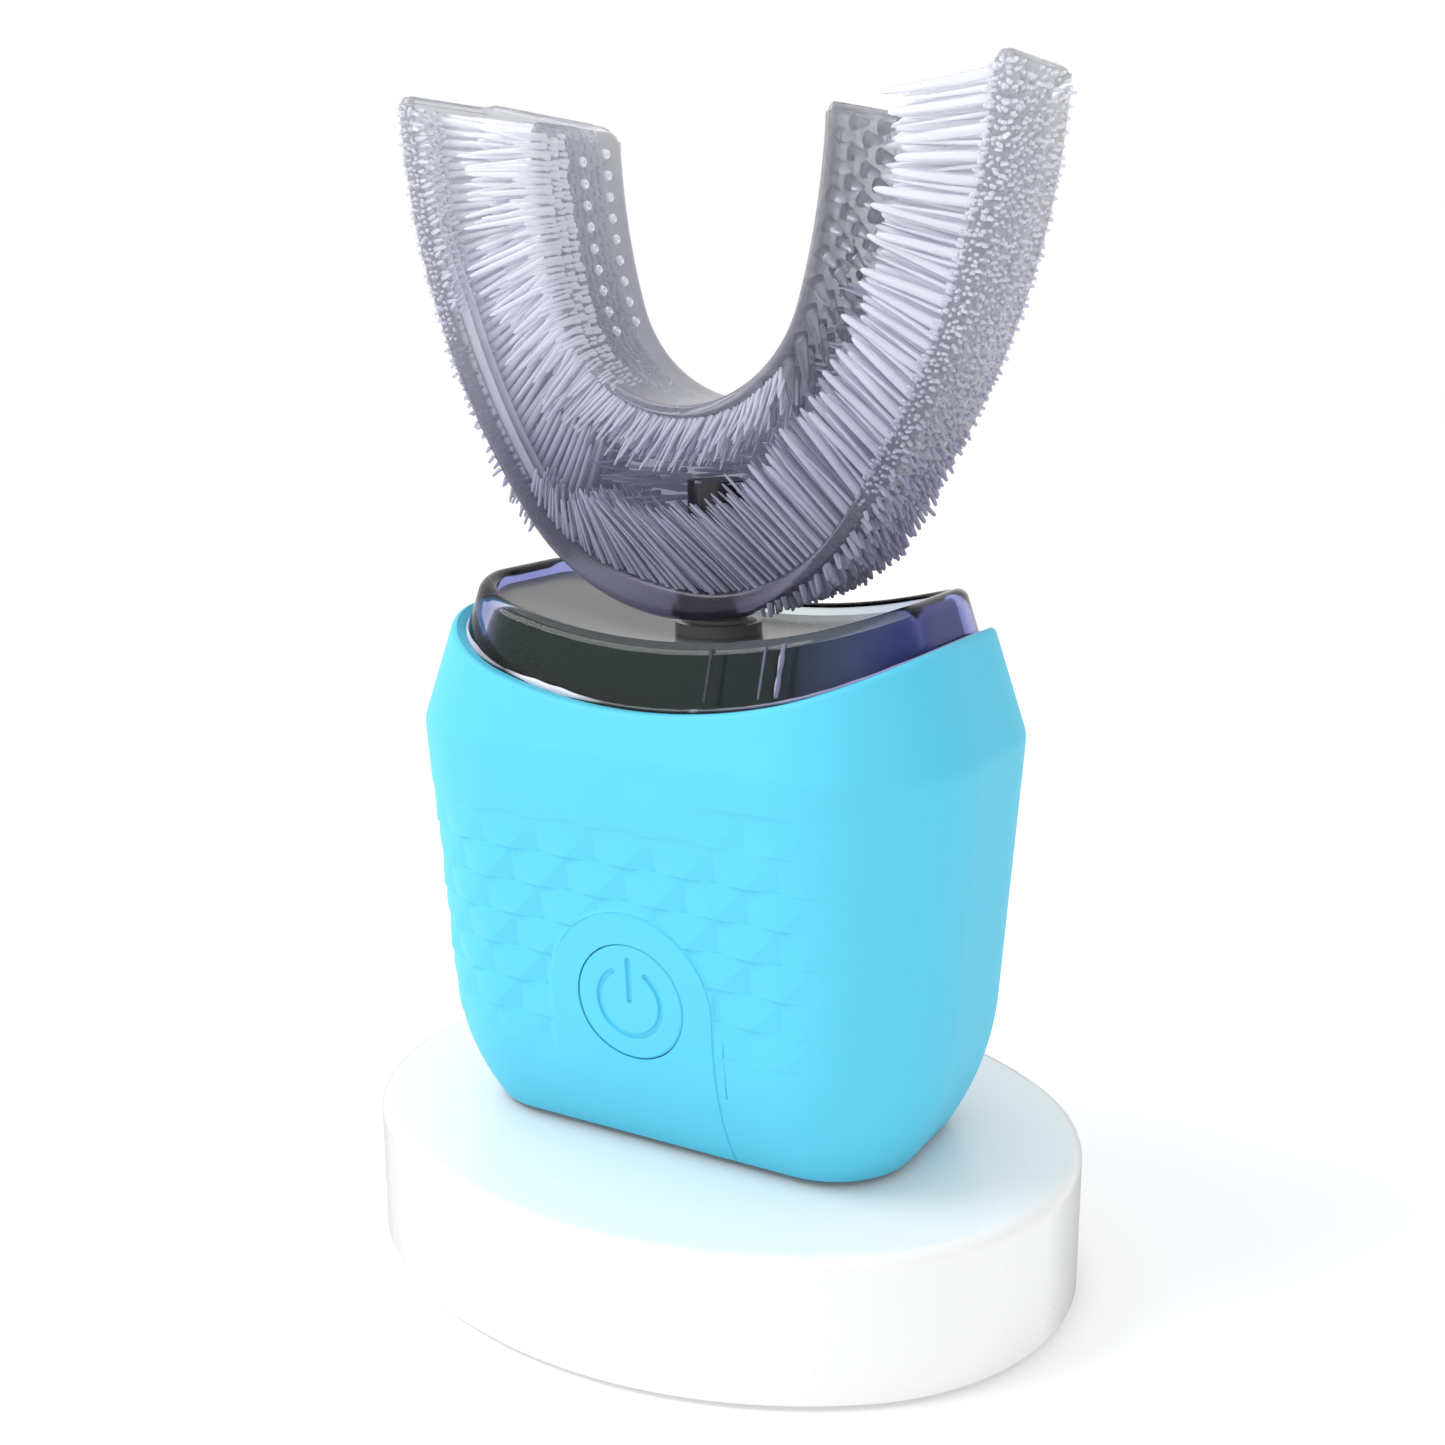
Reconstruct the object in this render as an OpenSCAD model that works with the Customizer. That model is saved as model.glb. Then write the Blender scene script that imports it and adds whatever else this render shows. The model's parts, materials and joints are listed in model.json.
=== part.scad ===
// Mouthpiece toothbrush standing on an oval wireless charger.
// Millimetres, Z up. The charger's feet stand on Z = 0, and the power button faces -Y.

/* [Charger] */
// Width of the oval charger
charger_w = 76; // [74:1:82]
// Depth of the oval charger
charger_d = 60; // [58:1:62]
// Height of the charger
charger_h = 15; // [15:0.5:18]
// Wall thickness of the charger's casing
charger_wall = 2; // [1.6:0.1:2.4]
// Rounding of the charger's top edge
charger_edge_r = 1.2; // [0.6:0.1:2]

/* [Handle] */
// Half of the straight run across the handle's width
core_x = 15.1; // [14.6:0.1:17]
// Half of the straight run through the handle's depth
core_y = 4.1; // [3.8:0.1:5]
// Corner radius at the foot
foot_r = 8.3; // [8:0.1:8.8]
// Corner radius where the foot's curve meets the straight side
belly_r = 12.9; // [12.7:0.1:13.2]
// Height of that place above the handle's underside
belly_z = 14.5; // [13.5:0.5:15.5]
// Corner radius at the shoulder
shoulder_r = 14.7; // [14.5:0.1:15]
// Height of the shoulder above the handle's underside
shoulder_z = 41; // [41:0.5:42]
// Wall thickness of the soft sleeve
sleeve_t = 1.45; // [1.45:0.05:1.5]
// Wall thickness of the hard case
case_t = 1.6; // [1.6:0.1:1.8]

/* [Button] */
// Diameter of the power button
button_d = 11.7; // [10:0.1:12]
// Height of the button's middle above the handle's underside
button_z = 17; // [16.5:0.5:18]
// Travel of the button
button_travel = 0.6; // [0.3:0.1:0.6]

/* [Mouthpiece] */
// Outer width of the tray
tray_w = 63.6; // [60:0.2:66]
// Height of the tray from its lowest point to its tips
tray_h = 48.4; // [46:0.2:50]
// Depth of the tray, front to back
tray_d = 15; // [14:0.5:17]
// Width of the gap for the tongue
gap_w = 29.8; // [28:0.2:31]
// Thickness of the wall on the cheek side
cheek_wall = 2; // [1.6:0.1:2.4]
// Thickness of the wall on the tongue side
tongue_wall = 1.8; // [1.4:0.1:2.2]
// Thickness of the web behind the tooth channel
web_t = 3; // [2:0.1:3.4]
// Diameter of the drive stem
stem_d = 3; // [2.6:0.1:3.2]

/* [Hidden] */
$fn = 96;

// Clearances
slip = 0.05;
cut = 1;

// Charger, worked out from its width, depth and height. The arc centres sit on a 3-4-5 triangle.
oval_k = (charger_w - charger_d) / 4;
end_x = 3 * oval_k;
side_y = 4 * oval_k;
end_r = charger_w / 2 - end_x;
side_r = end_r + 5 * oval_k;
shell_z = 0.6;
roof_t = 1.8;
roof_z = charger_h - roof_t;
bottom_top = 3.2;
pad_top = 1.4;
pad_inset = 5;
pad_w = 6;
screw_x = 26;
screw_y = 11;
screw_r = 1.1;
screw_head_r = 2;
screw_seat = 2.4;
board_z = 5.6;
board_t = 1.2;
board_top = board_z + board_t;
post_x = 18;
post_y = 14;
usb_w = 9;
usb_h = 3.2;
usb_l = 7.4;
usb_y = charger_d / 2 - 0.8 - usb_l;
coil_r = 14.8;
coil_hole_r = 7.5;
coil_top = roof_z - 0.2;
coil_t = 1.2;
ferrite_t = 1;
tray_wall_r = 16.6;
tray_hole_r = 15.4;

// Handle, in heights above its own underside
rest_gap = 0.05;
handle_z = charger_h + rest_gap;
sleeve_z = 0.7;
crown_slope = 0.3235;
profile_top = 60;
shoulder_fillet = 3;
cap_t = 1.8;
cap_r = foot_r - sleeve_t - 0.45;
sleeve_gap = 0.1;
case_inset = sleeve_t + sleeve_gap;
cavity_inset = case_inset + case_t;
sleeve_dip_z = 45.3;
sleeve_dip_r = 58;
rim_dip_z = 51.15;
rim_dip_r = 66;
lens_t = 1.9;
gasket_t = 0.7;
lens_z = shoulder_z + gasket_t;
deck_drop = 1.2;
deck_t = 1.6;
skirt_t = 1.2;
boss_r = 4.3;
seal_r = 3;
seal_top = 51.5;
seal_h = 3.1;

// Screws of the handle's case: [x, z] of each
case_screw_at = [[-20.2, 7.2], [20.2, 7.2], [-21.5, 34], [21.5, 34]];
case_boss_r = 2.4;
case_screw_r = 1;
case_head_r = 1.9;
case_seat_y = 6;

// Button, switch and board
button_r = button_d / 2;
button_back_y = -13.35;
flange_y = -14.4;
flange_t = 0.8;
flange_r = button_r + 0.7;
plunger_r = 0.9;
plunger_y = button_back_y + slip;
switch_y = -12.6;
main_y = -11;
plunger_in_y = main_y - 0.4 - button_travel;
main_t = 1.2;
main_x = 16;
main_z0 = 6.5;
main_z1 = 31;

// Battery, motor and drive
cell_r = 7;
cell_l = 31;
cell_y = 1.5;
cell_z = 12.4;
motor_r = 8;
motor_z0 = 22;
motor_z1 = 39;
motor_wall = 0.8;
bush_r = 3.2;
bush_h = 2.4;
stem_r = stem_d / 2;
stem_fit = 0.06;
stem_z0 = motor_z0 + 1.4;
rotor_r = 4.4;

// Mouthpiece, in heights above its own lowest point
tray_z = handle_z + 52.15;
cheek_tri = 9.8 * [4, 3, 5];
tongue_tri = 2.1 * [24, 7, 25];
gap_z = 20.15;
tip_drop = 3.4;
tip_in = 17;
tip_out = 22;
socket_r = 3;
socket_top = 12.8;
socket_flange_r = 3.6;
socket_flange_t = 0.8;
socket_drop = 0.25;
stem_top = 10.3;

// ---- Oval solids of the charger ----

// Half section of a disc with a rounded upper edge
module disc_profile(r, h, edge) {
    square([r, h - edge]);
    square([r - edge, h]);
    if (edge > 0)
        translate([r - edge, h - edge]) circle(r = edge);
}

// Four tangent arcs: a sector of a disc at each end and a sector of a larger disc along each side
module oval(inset, z0, z1, edge = 0) {
    for (flip = [0, 1]) {
        mirror([flip, 0, 0]) translate([end_x, 0, z0])
            disc_sector(end_r - inset, z1 - z0, edge, [[0, 0], [60, -80], [60, 80]]);
        mirror([0, flip, 0]) translate([0, -side_y, z0])
            disc_sector(side_r - inset, z1 - z0, edge, [[0, 0], [60, 80], [-60, 80]]);
    }
}

module disc_sector(r, h, edge, corners) {
    intersection() {
        rotate_extrude() disc_profile(r, h, edge);
        translate([0, 0, -cut]) linear_extrude(h + 2 * cut) polygon(corners);
    }
}

module at_charger_screws() {
    for (x = [-screw_x, screw_x], y = [-screw_y, screw_y])
        translate([x, y, 0]) children();
}

module charger_shell() {
    color("white") difference() {
        union() {
            difference() {
                oval(0, shell_z, charger_h, charger_edge_r);
                oval(charger_wall, shell_z - cut, roof_z);
            }
            at_charger_screws() translate([0, 0, bottom_top])
                cylinder(r = 2.6, h = roof_z - bottom_top + 0.2);
        }
        at_charger_screws() translate([0, 0, bottom_top - cut])
            cylinder(r = screw_r, h = 7 + cut);
        translate([0, charger_d / 2, board_top + usb_h / 2])
            rotate([90, 0, 0]) slot_block(usb_w + 0.4, usb_h + 0.4, charger_wall * 3, charger_wall * 1.5);
    }
}

module charger_bottom() {
    color("gainsboro") difference() {
        union() {
            oval(charger_wall + 0.1, shell_z, bottom_top);
            for (x = [-post_x, post_x], y = [-post_y, post_y])
                translate([x, y, bottom_top]) cylinder(r = 2, h = board_z - bottom_top);
        }
        difference() {
            oval(pad_inset, 0, pad_top);
            oval(pad_inset + pad_w, -cut, pad_top + cut);
        }
        at_charger_screws() {
            cylinder(r = screw_head_r + 0.2, h = screw_seat);
            cylinder(r = screw_r + 0.2, h = bottom_top + cut);
        }
    }
}

module charger_foot_pad() {
    color("dimgray") difference() {
        oval(pad_inset + slip, 0, pad_top);
        oval(pad_inset + pad_w - slip, -cut, pad_top + cut);
    }
}

module charger_screws() {
    color("silver") at_charger_screws() difference() {
        union() {
            translate([0, 0, pad_top + 0.1]) cylinder(r = screw_head_r, h = screw_seat - pad_top - 0.1);
            translate([0, 0, screw_seat]) cylinder(r = screw_r, h = 5.6);
        }
        for (turn = [0, 90])
            rotate(turn) translate([-1.2, -0.25, 0]) cube([2.4, 0.5, pad_top + 0.5]);
    }
}

module charger_board() {
    color("seagreen") {
        translate([-22, -18, board_z]) cube([44, 36, board_t]);
        translate([-8, 17, board_z]) cube([16, charger_d / 2 - charger_wall - 18, board_t]);
        translate([-6, -5, board_top]) cube([7, 7, 1]);
        translate([4, -2, board_top]) cube([4, 6, 1.8]);
        translate([-9, 6, board_top]) cube([5, 3, 1.2]);
    }
}

// A flat-sided block with round ends, centred, lying along Z
module slot_block(w, h, l, drop) {
    translate([0, 0, -drop]) linear_extrude(l) {
        square([w - h, h], center = true);
        for (x = [-1, 1])
            translate([x * (w - h) / 2, 0]) circle(d = h);
    }
}

module usb_socket() {
    color("silver") translate([0, usb_y + usb_l, board_top + usb_h / 2]) rotate([90, 0, 0]) {
        difference() {
            slot_block(usb_w, usb_h, usb_l, 0);
            slot_block(usb_w - 0.7, usb_h - 0.7, usb_l - 1 + cut, cut);
        }
        translate([-3.2, -0.35, 0.6]) cube([6.4, 0.7, usb_l - 1]);
    }
}

module coil_tray() {
    color("whitesmoke") translate([0, 0, board_top]) difference() {
        cylinder(r = tray_wall_r, h = coil_top - board_top);
        translate([0, 0, coil_top - coil_t - ferrite_t - board_top]) cylinder(r = tray_hole_r, h = 10);
        translate([0, 0, -cut])
            cylinder(r = tray_hole_r, h = coil_top - coil_t - ferrite_t - 1 - board_top + cut);
        cylinder(r = 4, h = 10);
        translate([-usb_w / 2 - 1, 10, -cut]) cube([usb_w + 2, 10, usb_h + 0.3 + cut]);
    }
}

// A flat wound ring
module ring(r_out, r_in, z0, z1) {
    difference() {
        translate([0, 0, z0]) cylinder(r = r_out, h = z1 - z0);
        translate([0, 0, z0 - cut]) cylinder(r = r_in, h = z1 - z0 + 2 * cut);
    }
}

module transmit_coil() {
    color("chocolate") ring(coil_r, coil_hole_r, coil_top - coil_t, coil_top);
}

module transmit_ferrite() {
    color("darkslategray")
        ring(tray_hole_r - 0.2, 1, coil_top - coil_t - ferrite_t, coil_top - coil_t);
}

// ---- The handle's tapering tub ----

// Half section of a corner column: foot curve, straight draft, rounded shoulder, inward crown
module corner_profile(inset, z0, z1) {
    rise = shoulder_z - belly_z;
    slant = norm([shoulder_r - belly_r, rise]);
    out_x = rise / slant;
    out_z = -(shoulder_r - belly_r) / slant;
    foot = [foot_r - belly_r, sleeve_z - belly_z];
    curve_r = -(foot * foot) / (2 * (foot * [out_x, out_z]));
    crown_out = [cos(atan(crown_slope)), sin(atan(crown_slope))];
    half = (atan(crown_slope) - asin(out_z)) / 2;
    mid = (atan(crown_slope) + asin(out_z)) / 2;
    centre = [shoulder_r, shoulder_z] - shoulder_fillet / cos(half) * [cos(mid), sin(mid)];
    fillet = max(shoulder_fillet - inset, 0);
    corner = min(shoulder_fillet - inset, 0) / cos(half) * [cos(mid), sin(mid)];
    side_end = centre + corner + fillet * [out_x, out_z];
    crown_start = centre + corner + fillet * crown_out;
    belly_in = [belly_r, belly_z] - inset * [out_x, out_z];
    top_r = crown_start[0] - crown_slope * (profile_top - crown_start[1]);
    foot_top = [[0, belly_in[1]], belly_in];
    crown = [[top_r, profile_top], [0, profile_top]];
    intersection() {
        union() {
            polygon(concat(foot_top, [side_end], fillet > 0 ? [crown_start] : [], crown));
            if (fillet > 0)
                translate(centre) circle(r = fillet);
            intersection() {
                translate([belly_r - curve_r * out_x, belly_z - curve_r * out_z])
                    circle(r = curve_r - inset, $fn = 200);
                square([shoulder_r, belly_in[1]]);
            }
        }
        translate([0, z0]) square([shoulder_r, z1 - z0]);
    }
}

// Rounded rectangle whose corner radius follows the profile: four columns and two crossing slabs
module tub(inset, z0, z1) {
    for (x = [-core_x, core_x], y = [-core_y, core_y])
        translate([x, y, 0]) rotate_extrude() corner_profile(inset, z0, z1);
    rotate([90, 0, 90]) translate([0, 0, -core_x])
        linear_extrude(2 * core_x) slab_section(core_y, inset, z0, z1);
    rotate([90, 0, 0]) translate([0, 0, -core_y])
        linear_extrude(2 * core_y) slab_section(core_x, inset, z0, z1);
}

module slab_section(reach, inset, z0, z1) {
    translate([-reach, z0]) square([2 * reach, z1 - z0]);
    translate([reach, 0]) corner_profile(inset, z0, z1);
    translate([-reach, 0]) mirror([1, 0]) corner_profile(inset, z0, z1);
}

// The same plan at one corner radius, straight up
module plan_block(r, z0, z1) {
    translate([0, 0, z0]) linear_extrude(z1 - z0) {
        square([2 * core_x, 2 * (core_y + r)], center = true);
        square([2 * (core_x + r), 2 * core_y], center = true);
        for (x = [-core_x, core_x], y = [-core_y, core_y])
            translate([x, y]) circle(r = r);
    }
}

// Everything above a trough along Y whose lowest line is at height z
module above_dip(z, r) {
    translate([0, 50, z + r]) rotate([90, 0, 0]) cylinder(r = r, h = 100, $fn = 240);
}

module base_cap() {
    color("#30353a") translate([0, 0, handle_z]) {
        plan_block(cap_r, 0, cap_t);
        for (x = [-1, 1])
            translate([x * 14 - 0.75, -4, cap_t]) cube([1.5, 8, 2]);
    }
}

module grip_sleeve() {
    color("#6ae7ff") translate([0, 0, handle_z]) difference() {
        tub(0, sleeve_z, profile_top);
        tub(sleeve_t, 0, profile_top + cut);
        above_dip(sleeve_dip_z, sleeve_dip_r);
        translate([0, 0, button_z]) rotate([90, 0, 0]) cylinder(r = button_r + 0.1, h = 30);
    }
}

module hard_case() {
    difference() {
        tub(case_inset, cap_t, shoulder_z);
        tub(cavity_inset, 0, shoulder_z + cut);
    }
    intersection() {
        tub(case_inset + case_t / 2, cap_t, shoulder_z);
        case_ribs();
    }
}

// Screw posts through the case and the two shelves that hold the motor
module case_ribs() {
    for (at = case_screw_at)
        translate([at[0], 30, at[1]]) rotate([90, 0, 0]) cylinder(r = case_boss_r, h = 60);
    difference() {
        translate([-50, -50, 29]) cube([100, 100, 2]);
        cylinder(r = motor_r + 1.25, h = profile_top);
        translate([-main_x - 0.5, -40, 0]) cube([2 * main_x + 1, 40 - 7.5, profile_top]);
    }
}

module front_case() {
    color("slategray") translate([0, 0, handle_z]) difference() {
        hard_case();
        translate([-50, 0, -cut]) cube([100, 50, profile_top]);
        for (at = case_screw_at)
            translate([at[0], cut, at[1]]) rotate([90, 0, 0]) cylinder(r = case_screw_r, h = 7.5 + cut);
        translate([0, 0, button_z]) rotate([90, 0, 0]) cylinder(r = flange_r + 0.3, h = 30);
    }
}

module rear_case() {
    color("lightslategray") translate([0, 0, handle_z]) difference() {
        hard_case();
        translate([-50, -50, -cut]) cube([100, 50, profile_top]);
        for (at = case_screw_at) {
            translate([at[0], 30, at[1]]) rotate([90, 0, 0]) cylinder(r = case_screw_r + 0.2, h = 40);
            translate([at[0], 30, at[1]]) rotate([90, 0, 0]) cylinder(r = case_head_r + 0.2, h = 30 - case_seat_y);
        }
    }
}

module case_screws() {
    color("silver") translate([0, 0, handle_z]) for (at = case_screw_at)
        translate([at[0], case_seat_y, at[1]]) rotate([-90, 0, 0]) difference() {
            union() {
                cylinder(r = case_head_r, h = 1.3);
                translate([0, 0, -13]) cylinder(r = case_screw_r, h = 13);
            }
            for (turn = [0, 90])
                rotate(turn) translate([-1.1, -0.25, 0.8]) cube([2.2, 0.5, 1]);
        }
}

module power_button() {
    color("#62dcf5") translate([0, 0, handle_z]) {
        intersection() {
            tub(0, sleeve_z, shoulder_z);
            translate([0, flange_y + flange_t, button_z]) rotate([90, 0, 0]) cylinder(r = button_r, h = 10);
        }
        translate([0, flange_y + flange_t, button_z]) rotate([90, 0, 0]) cylinder(r = flange_r, h = flange_t);
        translate([0, button_back_y, button_z]) rotate([90, 0, 0])
            cylinder(r = 1.5, h = button_back_y - flange_y - flange_t / 2);
    }
}

module button_switch() {
    color("black") translate([0, 0, handle_z + button_z]) difference() {
        translate([-3, switch_y, -3]) cube([6, main_y - switch_y, 6]);
        translate([0, main_y - 0.2, 0]) rotate([90, 0, 0]) cylinder(r = plunger_r + slip, h = 5);
    }
}

module switch_plunger() {
    color("ivory") translate([0, 0, handle_z + button_z])
        translate([0, plunger_in_y, 0]) rotate([90, 0, 0]) cylinder(r = plunger_r, h = plunger_in_y - plunger_y);
}

module main_board() {
    color("seagreen") translate([0, 0, handle_z]) {
        translate([-main_x, main_y, main_z0]) cube([2 * main_x, main_t, main_z1 - main_z0]);
        translate([-12, main_y + main_t, 8]) cube([6, 1, 6]);
        translate([5, main_y + main_t, 9]) cube([5, 1.2, 4]);
        translate([9, main_y - 0.9, 24]) cube([4, 0.9, 3]);
    }
}

module battery() {
    color("royalblue") translate([0, cell_y, handle_z + cell_z]) rotate([0, 90, 0]) {
        translate([0, 0, -cell_l / 2]) cylinder(r = cell_r, h = cell_l);
        translate([0, 0, cell_l / 2]) cylinder(r = 2.2, h = 0.8);
    }
}

module receive_coil() {
    color("chocolate") translate([0, 0, handle_z]) ring(8.4, 4.2, cap_t, cap_t + 1);
}

module receive_ferrite() {
    color("darkslategray") translate([0, 0, handle_z]) ring(8.4, 1, cap_t + 1, cap_t + 1.8);
}

module drive_motor() {
    color("lightgray") translate([0, 0, handle_z]) difference() {
        translate([0, 0, motor_z0]) cylinder(r = motor_r, h = motor_z1 - motor_z0);
        translate([0, 0, motor_z0 + 1]) cylinder(r = motor_r - motor_wall, h = motor_z1 - motor_z0 - 2);
        translate([0, 0, motor_z1 - 2]) cylinder(r = bush_r, h = 5);
    }
}

module motor_winding() {
    color("chocolate") translate([0, 0, handle_z])
        ring(motor_r - motor_wall - 0.1, rotor_r + 0.5, motor_z0 + 4, motor_z1 - 3);
}

module motor_cradle() {
    color("dimgray") translate([0, 0, handle_z]) difference() {
        ring(motor_r + 1.2, motor_r, motor_z0 + 2, motor_z1 - 2);
        for (turn = [45, 135])
            rotate(turn) translate([-20, -3, motor_z0 + 5]) cube([40, 6, 7]);
    }
}

module stem_bushings() {
    color("goldenrod") translate([0, 0, handle_z]) for (z = [motor_z0 + 1, motor_z1 - 1.2])
        ring(bush_r, stem_r + stem_fit, z, z + bush_h - 0.2);
}

module motor_rotor() {
    color("#555a60") translate([0, 0, handle_z]) ring(rotor_r, stem_r, motor_z0 + 5, motor_z1 - 4);
}

module drive_stem() {
    color("silver") translate([0, 0, handle_z + stem_z0])
        cylinder(r = stem_r, h = tray_z + stem_top - handle_z - stem_z0);
}

module led_board() {
    color("seagreen") translate([0, 0, handle_z]) difference() {
        plan_block(11.2, motor_z1, motor_z1 + 0.8);
        translate([0, 0, motor_z1 - cut]) cylinder(r = 4.5, h = 4);
    }
}

module light_leds() {
    color("#7f8cff") translate([0, 0, handle_z + motor_z1 + 0.8]) for (x = [-1, 1], y = [-5, 0, 5])
        translate([x * 23.6 - 1, y - 0.8, 0]) cube([2, 1.6, 0.9]);
}

module lens_gasket() {
    color("black") translate([0, 0, handle_z]) difference() {
        plan_block(shoulder_r - case_inset - 0.5, shoulder_z, lens_z);
        plan_block(shoulder_r - cavity_inset, shoulder_z - cut, lens_z + cut);
    }
}

// Solid inside the collar whose side runs parallel to the crown
module crown_block(inset, z0) {
    tub(sleeve_t + sleeve_gap + inset, z0, profile_top);
}

module collar_lens() {
    color("slateblue") translate([0, 0, handle_z]) difference() {
        crown_block(0, lens_z);
        crown_block(lens_t, lens_z - cut);
        above_dip(rim_dip_z, rim_dip_r);
    }
}

module collar_insert() {
    color("#2c3834") translate([0, 0, handle_z]) difference() {
        union() {
            difference() {
                crown_block(lens_t + slip, lens_z);
                above_dip(rim_dip_z - deck_drop, rim_dip_r);
                difference() {
                    crown_block(lens_t + slip + skirt_t, lens_z - cut);
                    above_dip(rim_dip_z - deck_drop - deck_t, rim_dip_r);
                }
            }
            translate([0, 0, rim_dip_z - deck_drop - deck_t]) cylinder(r = boss_r, h = deck_t + deck_drop);
        }
        cylinder(r = seal_r, h = profile_top);
    }
}

module stem_seal() {
    color("gray") translate([0, 0, handle_z])
        ring(seal_r, stem_r + 0.1, seal_top - seal_h, seal_top);
}

// ---- Mouthpiece ----

// U-shaped outline of two long side arcs and a bottom arc; inset moves it inwards.
// tri is the right triangle between the arc centres: across, up and straight.
module arch(half_w, z0, tri, inset, top) {
    bottom_r = half_w - tri[2] + tri[0];
    centre_z = z0 + bottom_r;
    level_z = centre_z + tri[1];
    join_z = centre_z - (bottom_r - inset) * tri[1] / tri[2];
    intersection() {
        translate([tri[0], level_z]) circle(r = half_w + tri[0] - inset, $fn = 240);
        translate([-tri[0], level_z]) circle(r = half_w + tri[0] - inset, $fn = 240);
        translate([-half_w, join_z]) square([2 * half_w, min(level_z, top) - join_z]);
    }
    intersection() {
        translate([0, centre_z]) circle(r = bottom_r - inset, $fn = 160);
        translate([-half_w, z0 - cut]) square([2 * half_w, join_z - z0 + cut]);
    }
    if (top > level_z)
        translate([inset - half_w, level_z]) square([2 * (half_w - inset), top - level_z]);
}

module cheek_arch(inset, top) {
    arch(tray_w / 2, 0, cheek_tri, inset, top);
}

module tongue_arch(inset, top) {
    arch(gap_w / 2, gap_z, tongue_tri, inset, top);
}

// Extrude an X-Z outline between two Y planes
module along_y(y0, y1) {
    translate([0, y1, 0]) rotate([90, 0, 0]) linear_extrude(y1 - y0) children();
}

// The space above the sloping tips of both arms
module above_tips() {
    along_y(-tray_d, tray_d) polygon([
        [-tray_w, tray_h], [-tip_out, tray_h], [-tip_in, tray_h - tip_drop],
        [tip_in, tray_h - tip_drop], [tip_out, tray_h], [tray_w, tray_h],
        [tray_w, tray_h * 1.5], [-tray_w, tray_h * 1.5]
    ]);
}

module socket_outside() {
    translate([0, 0, -socket_drop]) cylinder(r = socket_flange_r, h = socket_flange_t + socket_drop);
    cylinder(r = socket_r, h = socket_top);
}

module mouthpiece_core() {
    color("#3a3f44") translate([0, 0, tray_z]) difference() {
        socket_outside();
        translate([0, 0, -cut]) cylinder(r = stem_r + stem_fit, h = stem_top + 0.2 + cut);
    }
}

module mouthpiece_tray() {
    color("#b9b6c8") translate([0, 0, tray_z]) difference() {
        along_y(-tray_d / 2, tray_d / 2) cheek_arch(0, tray_h + cut);
        along_y(-tray_d, tray_d / 2 - web_t) difference() {
            cheek_arch(cheek_wall, tray_h + 2 * cut);
            tongue_arch(-tongue_wall, tray_h + 3 * cut);
        }
        along_y(-tray_d, tray_d) tongue_arch(0, tray_h + 3 * cut);
        above_tips();
        socket_outside();
    }
}

// ---- Assembly ----

charger_shell();
charger_bottom();
charger_foot_pad();
charger_screws();
charger_board();
usb_socket();
coil_tray();
transmit_coil();
transmit_ferrite();
base_cap();
grip_sleeve();
front_case();
rear_case();
case_screws();
power_button();
button_switch();
switch_plunger();
main_board();
battery();
receive_coil();
receive_ferrite();
drive_motor();
motor_winding();
motor_cradle();
stem_bushings();
motor_rotor();
drive_stem();
led_board();
light_leds();
lens_gasket();
collar_lens();
collar_insert();
stem_seal();
mouthpiece_core();
mouthpiece_tray();
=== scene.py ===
"""A mouthpiece toothbrush on its oval wireless charger: the looks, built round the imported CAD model."""

import json
import math

import bpy
import numpy as np
from mathutils import Matrix, Vector


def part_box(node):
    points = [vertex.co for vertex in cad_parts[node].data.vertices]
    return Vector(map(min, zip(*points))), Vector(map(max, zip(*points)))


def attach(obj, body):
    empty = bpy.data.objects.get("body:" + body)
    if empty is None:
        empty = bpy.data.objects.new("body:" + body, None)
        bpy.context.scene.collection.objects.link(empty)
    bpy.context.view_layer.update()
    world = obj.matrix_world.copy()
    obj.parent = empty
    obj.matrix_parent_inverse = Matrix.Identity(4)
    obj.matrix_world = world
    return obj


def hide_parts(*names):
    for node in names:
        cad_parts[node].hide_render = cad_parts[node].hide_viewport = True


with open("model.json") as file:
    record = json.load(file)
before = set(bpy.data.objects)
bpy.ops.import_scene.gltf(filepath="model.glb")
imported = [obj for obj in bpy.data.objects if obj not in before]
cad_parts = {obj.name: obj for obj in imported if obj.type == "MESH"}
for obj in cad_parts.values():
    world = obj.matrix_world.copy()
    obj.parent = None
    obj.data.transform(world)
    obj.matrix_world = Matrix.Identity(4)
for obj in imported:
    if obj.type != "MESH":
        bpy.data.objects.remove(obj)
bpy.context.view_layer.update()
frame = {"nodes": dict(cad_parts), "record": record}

MM = 0.001
NODES = frame["nodes"]
RANDOM = np.random.default_rng(7)

# Heights of pieces that the frame places, in millimetres
HANDLE_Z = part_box("base_cap")[0].z / MM
TRAY_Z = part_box("mouthpiece_tray")[0].z / MM
CORE_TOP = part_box("mouthpiece_core")[1].z / MM


# ---- Materials ----


def add_node(tree, kind, *inputs, **settings):
    """A shader node, its first inputs filled in order: a socket is linked, a value is set, None is left."""
    node = tree.nodes.new("ShaderNode" + kind)
    for name, setting in settings.items():
        setattr(node, name, setting)
    for socket, given in zip(node.inputs, inputs):
        if isinstance(given, bpy.types.NodeSocket):
            tree.links.new(given, socket)
        elif given is not None:
            socket.default_value = given
    return node.outputs


def shader(mat):
    """The node that holds a finish's looks."""
    return mat.node_tree.nodes["Principled BSDF"]


def noise(tree, coords, scale, detail):
    return add_node(tree, "TexNoise", coords, None, scale, detail)["Fac"]


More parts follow.
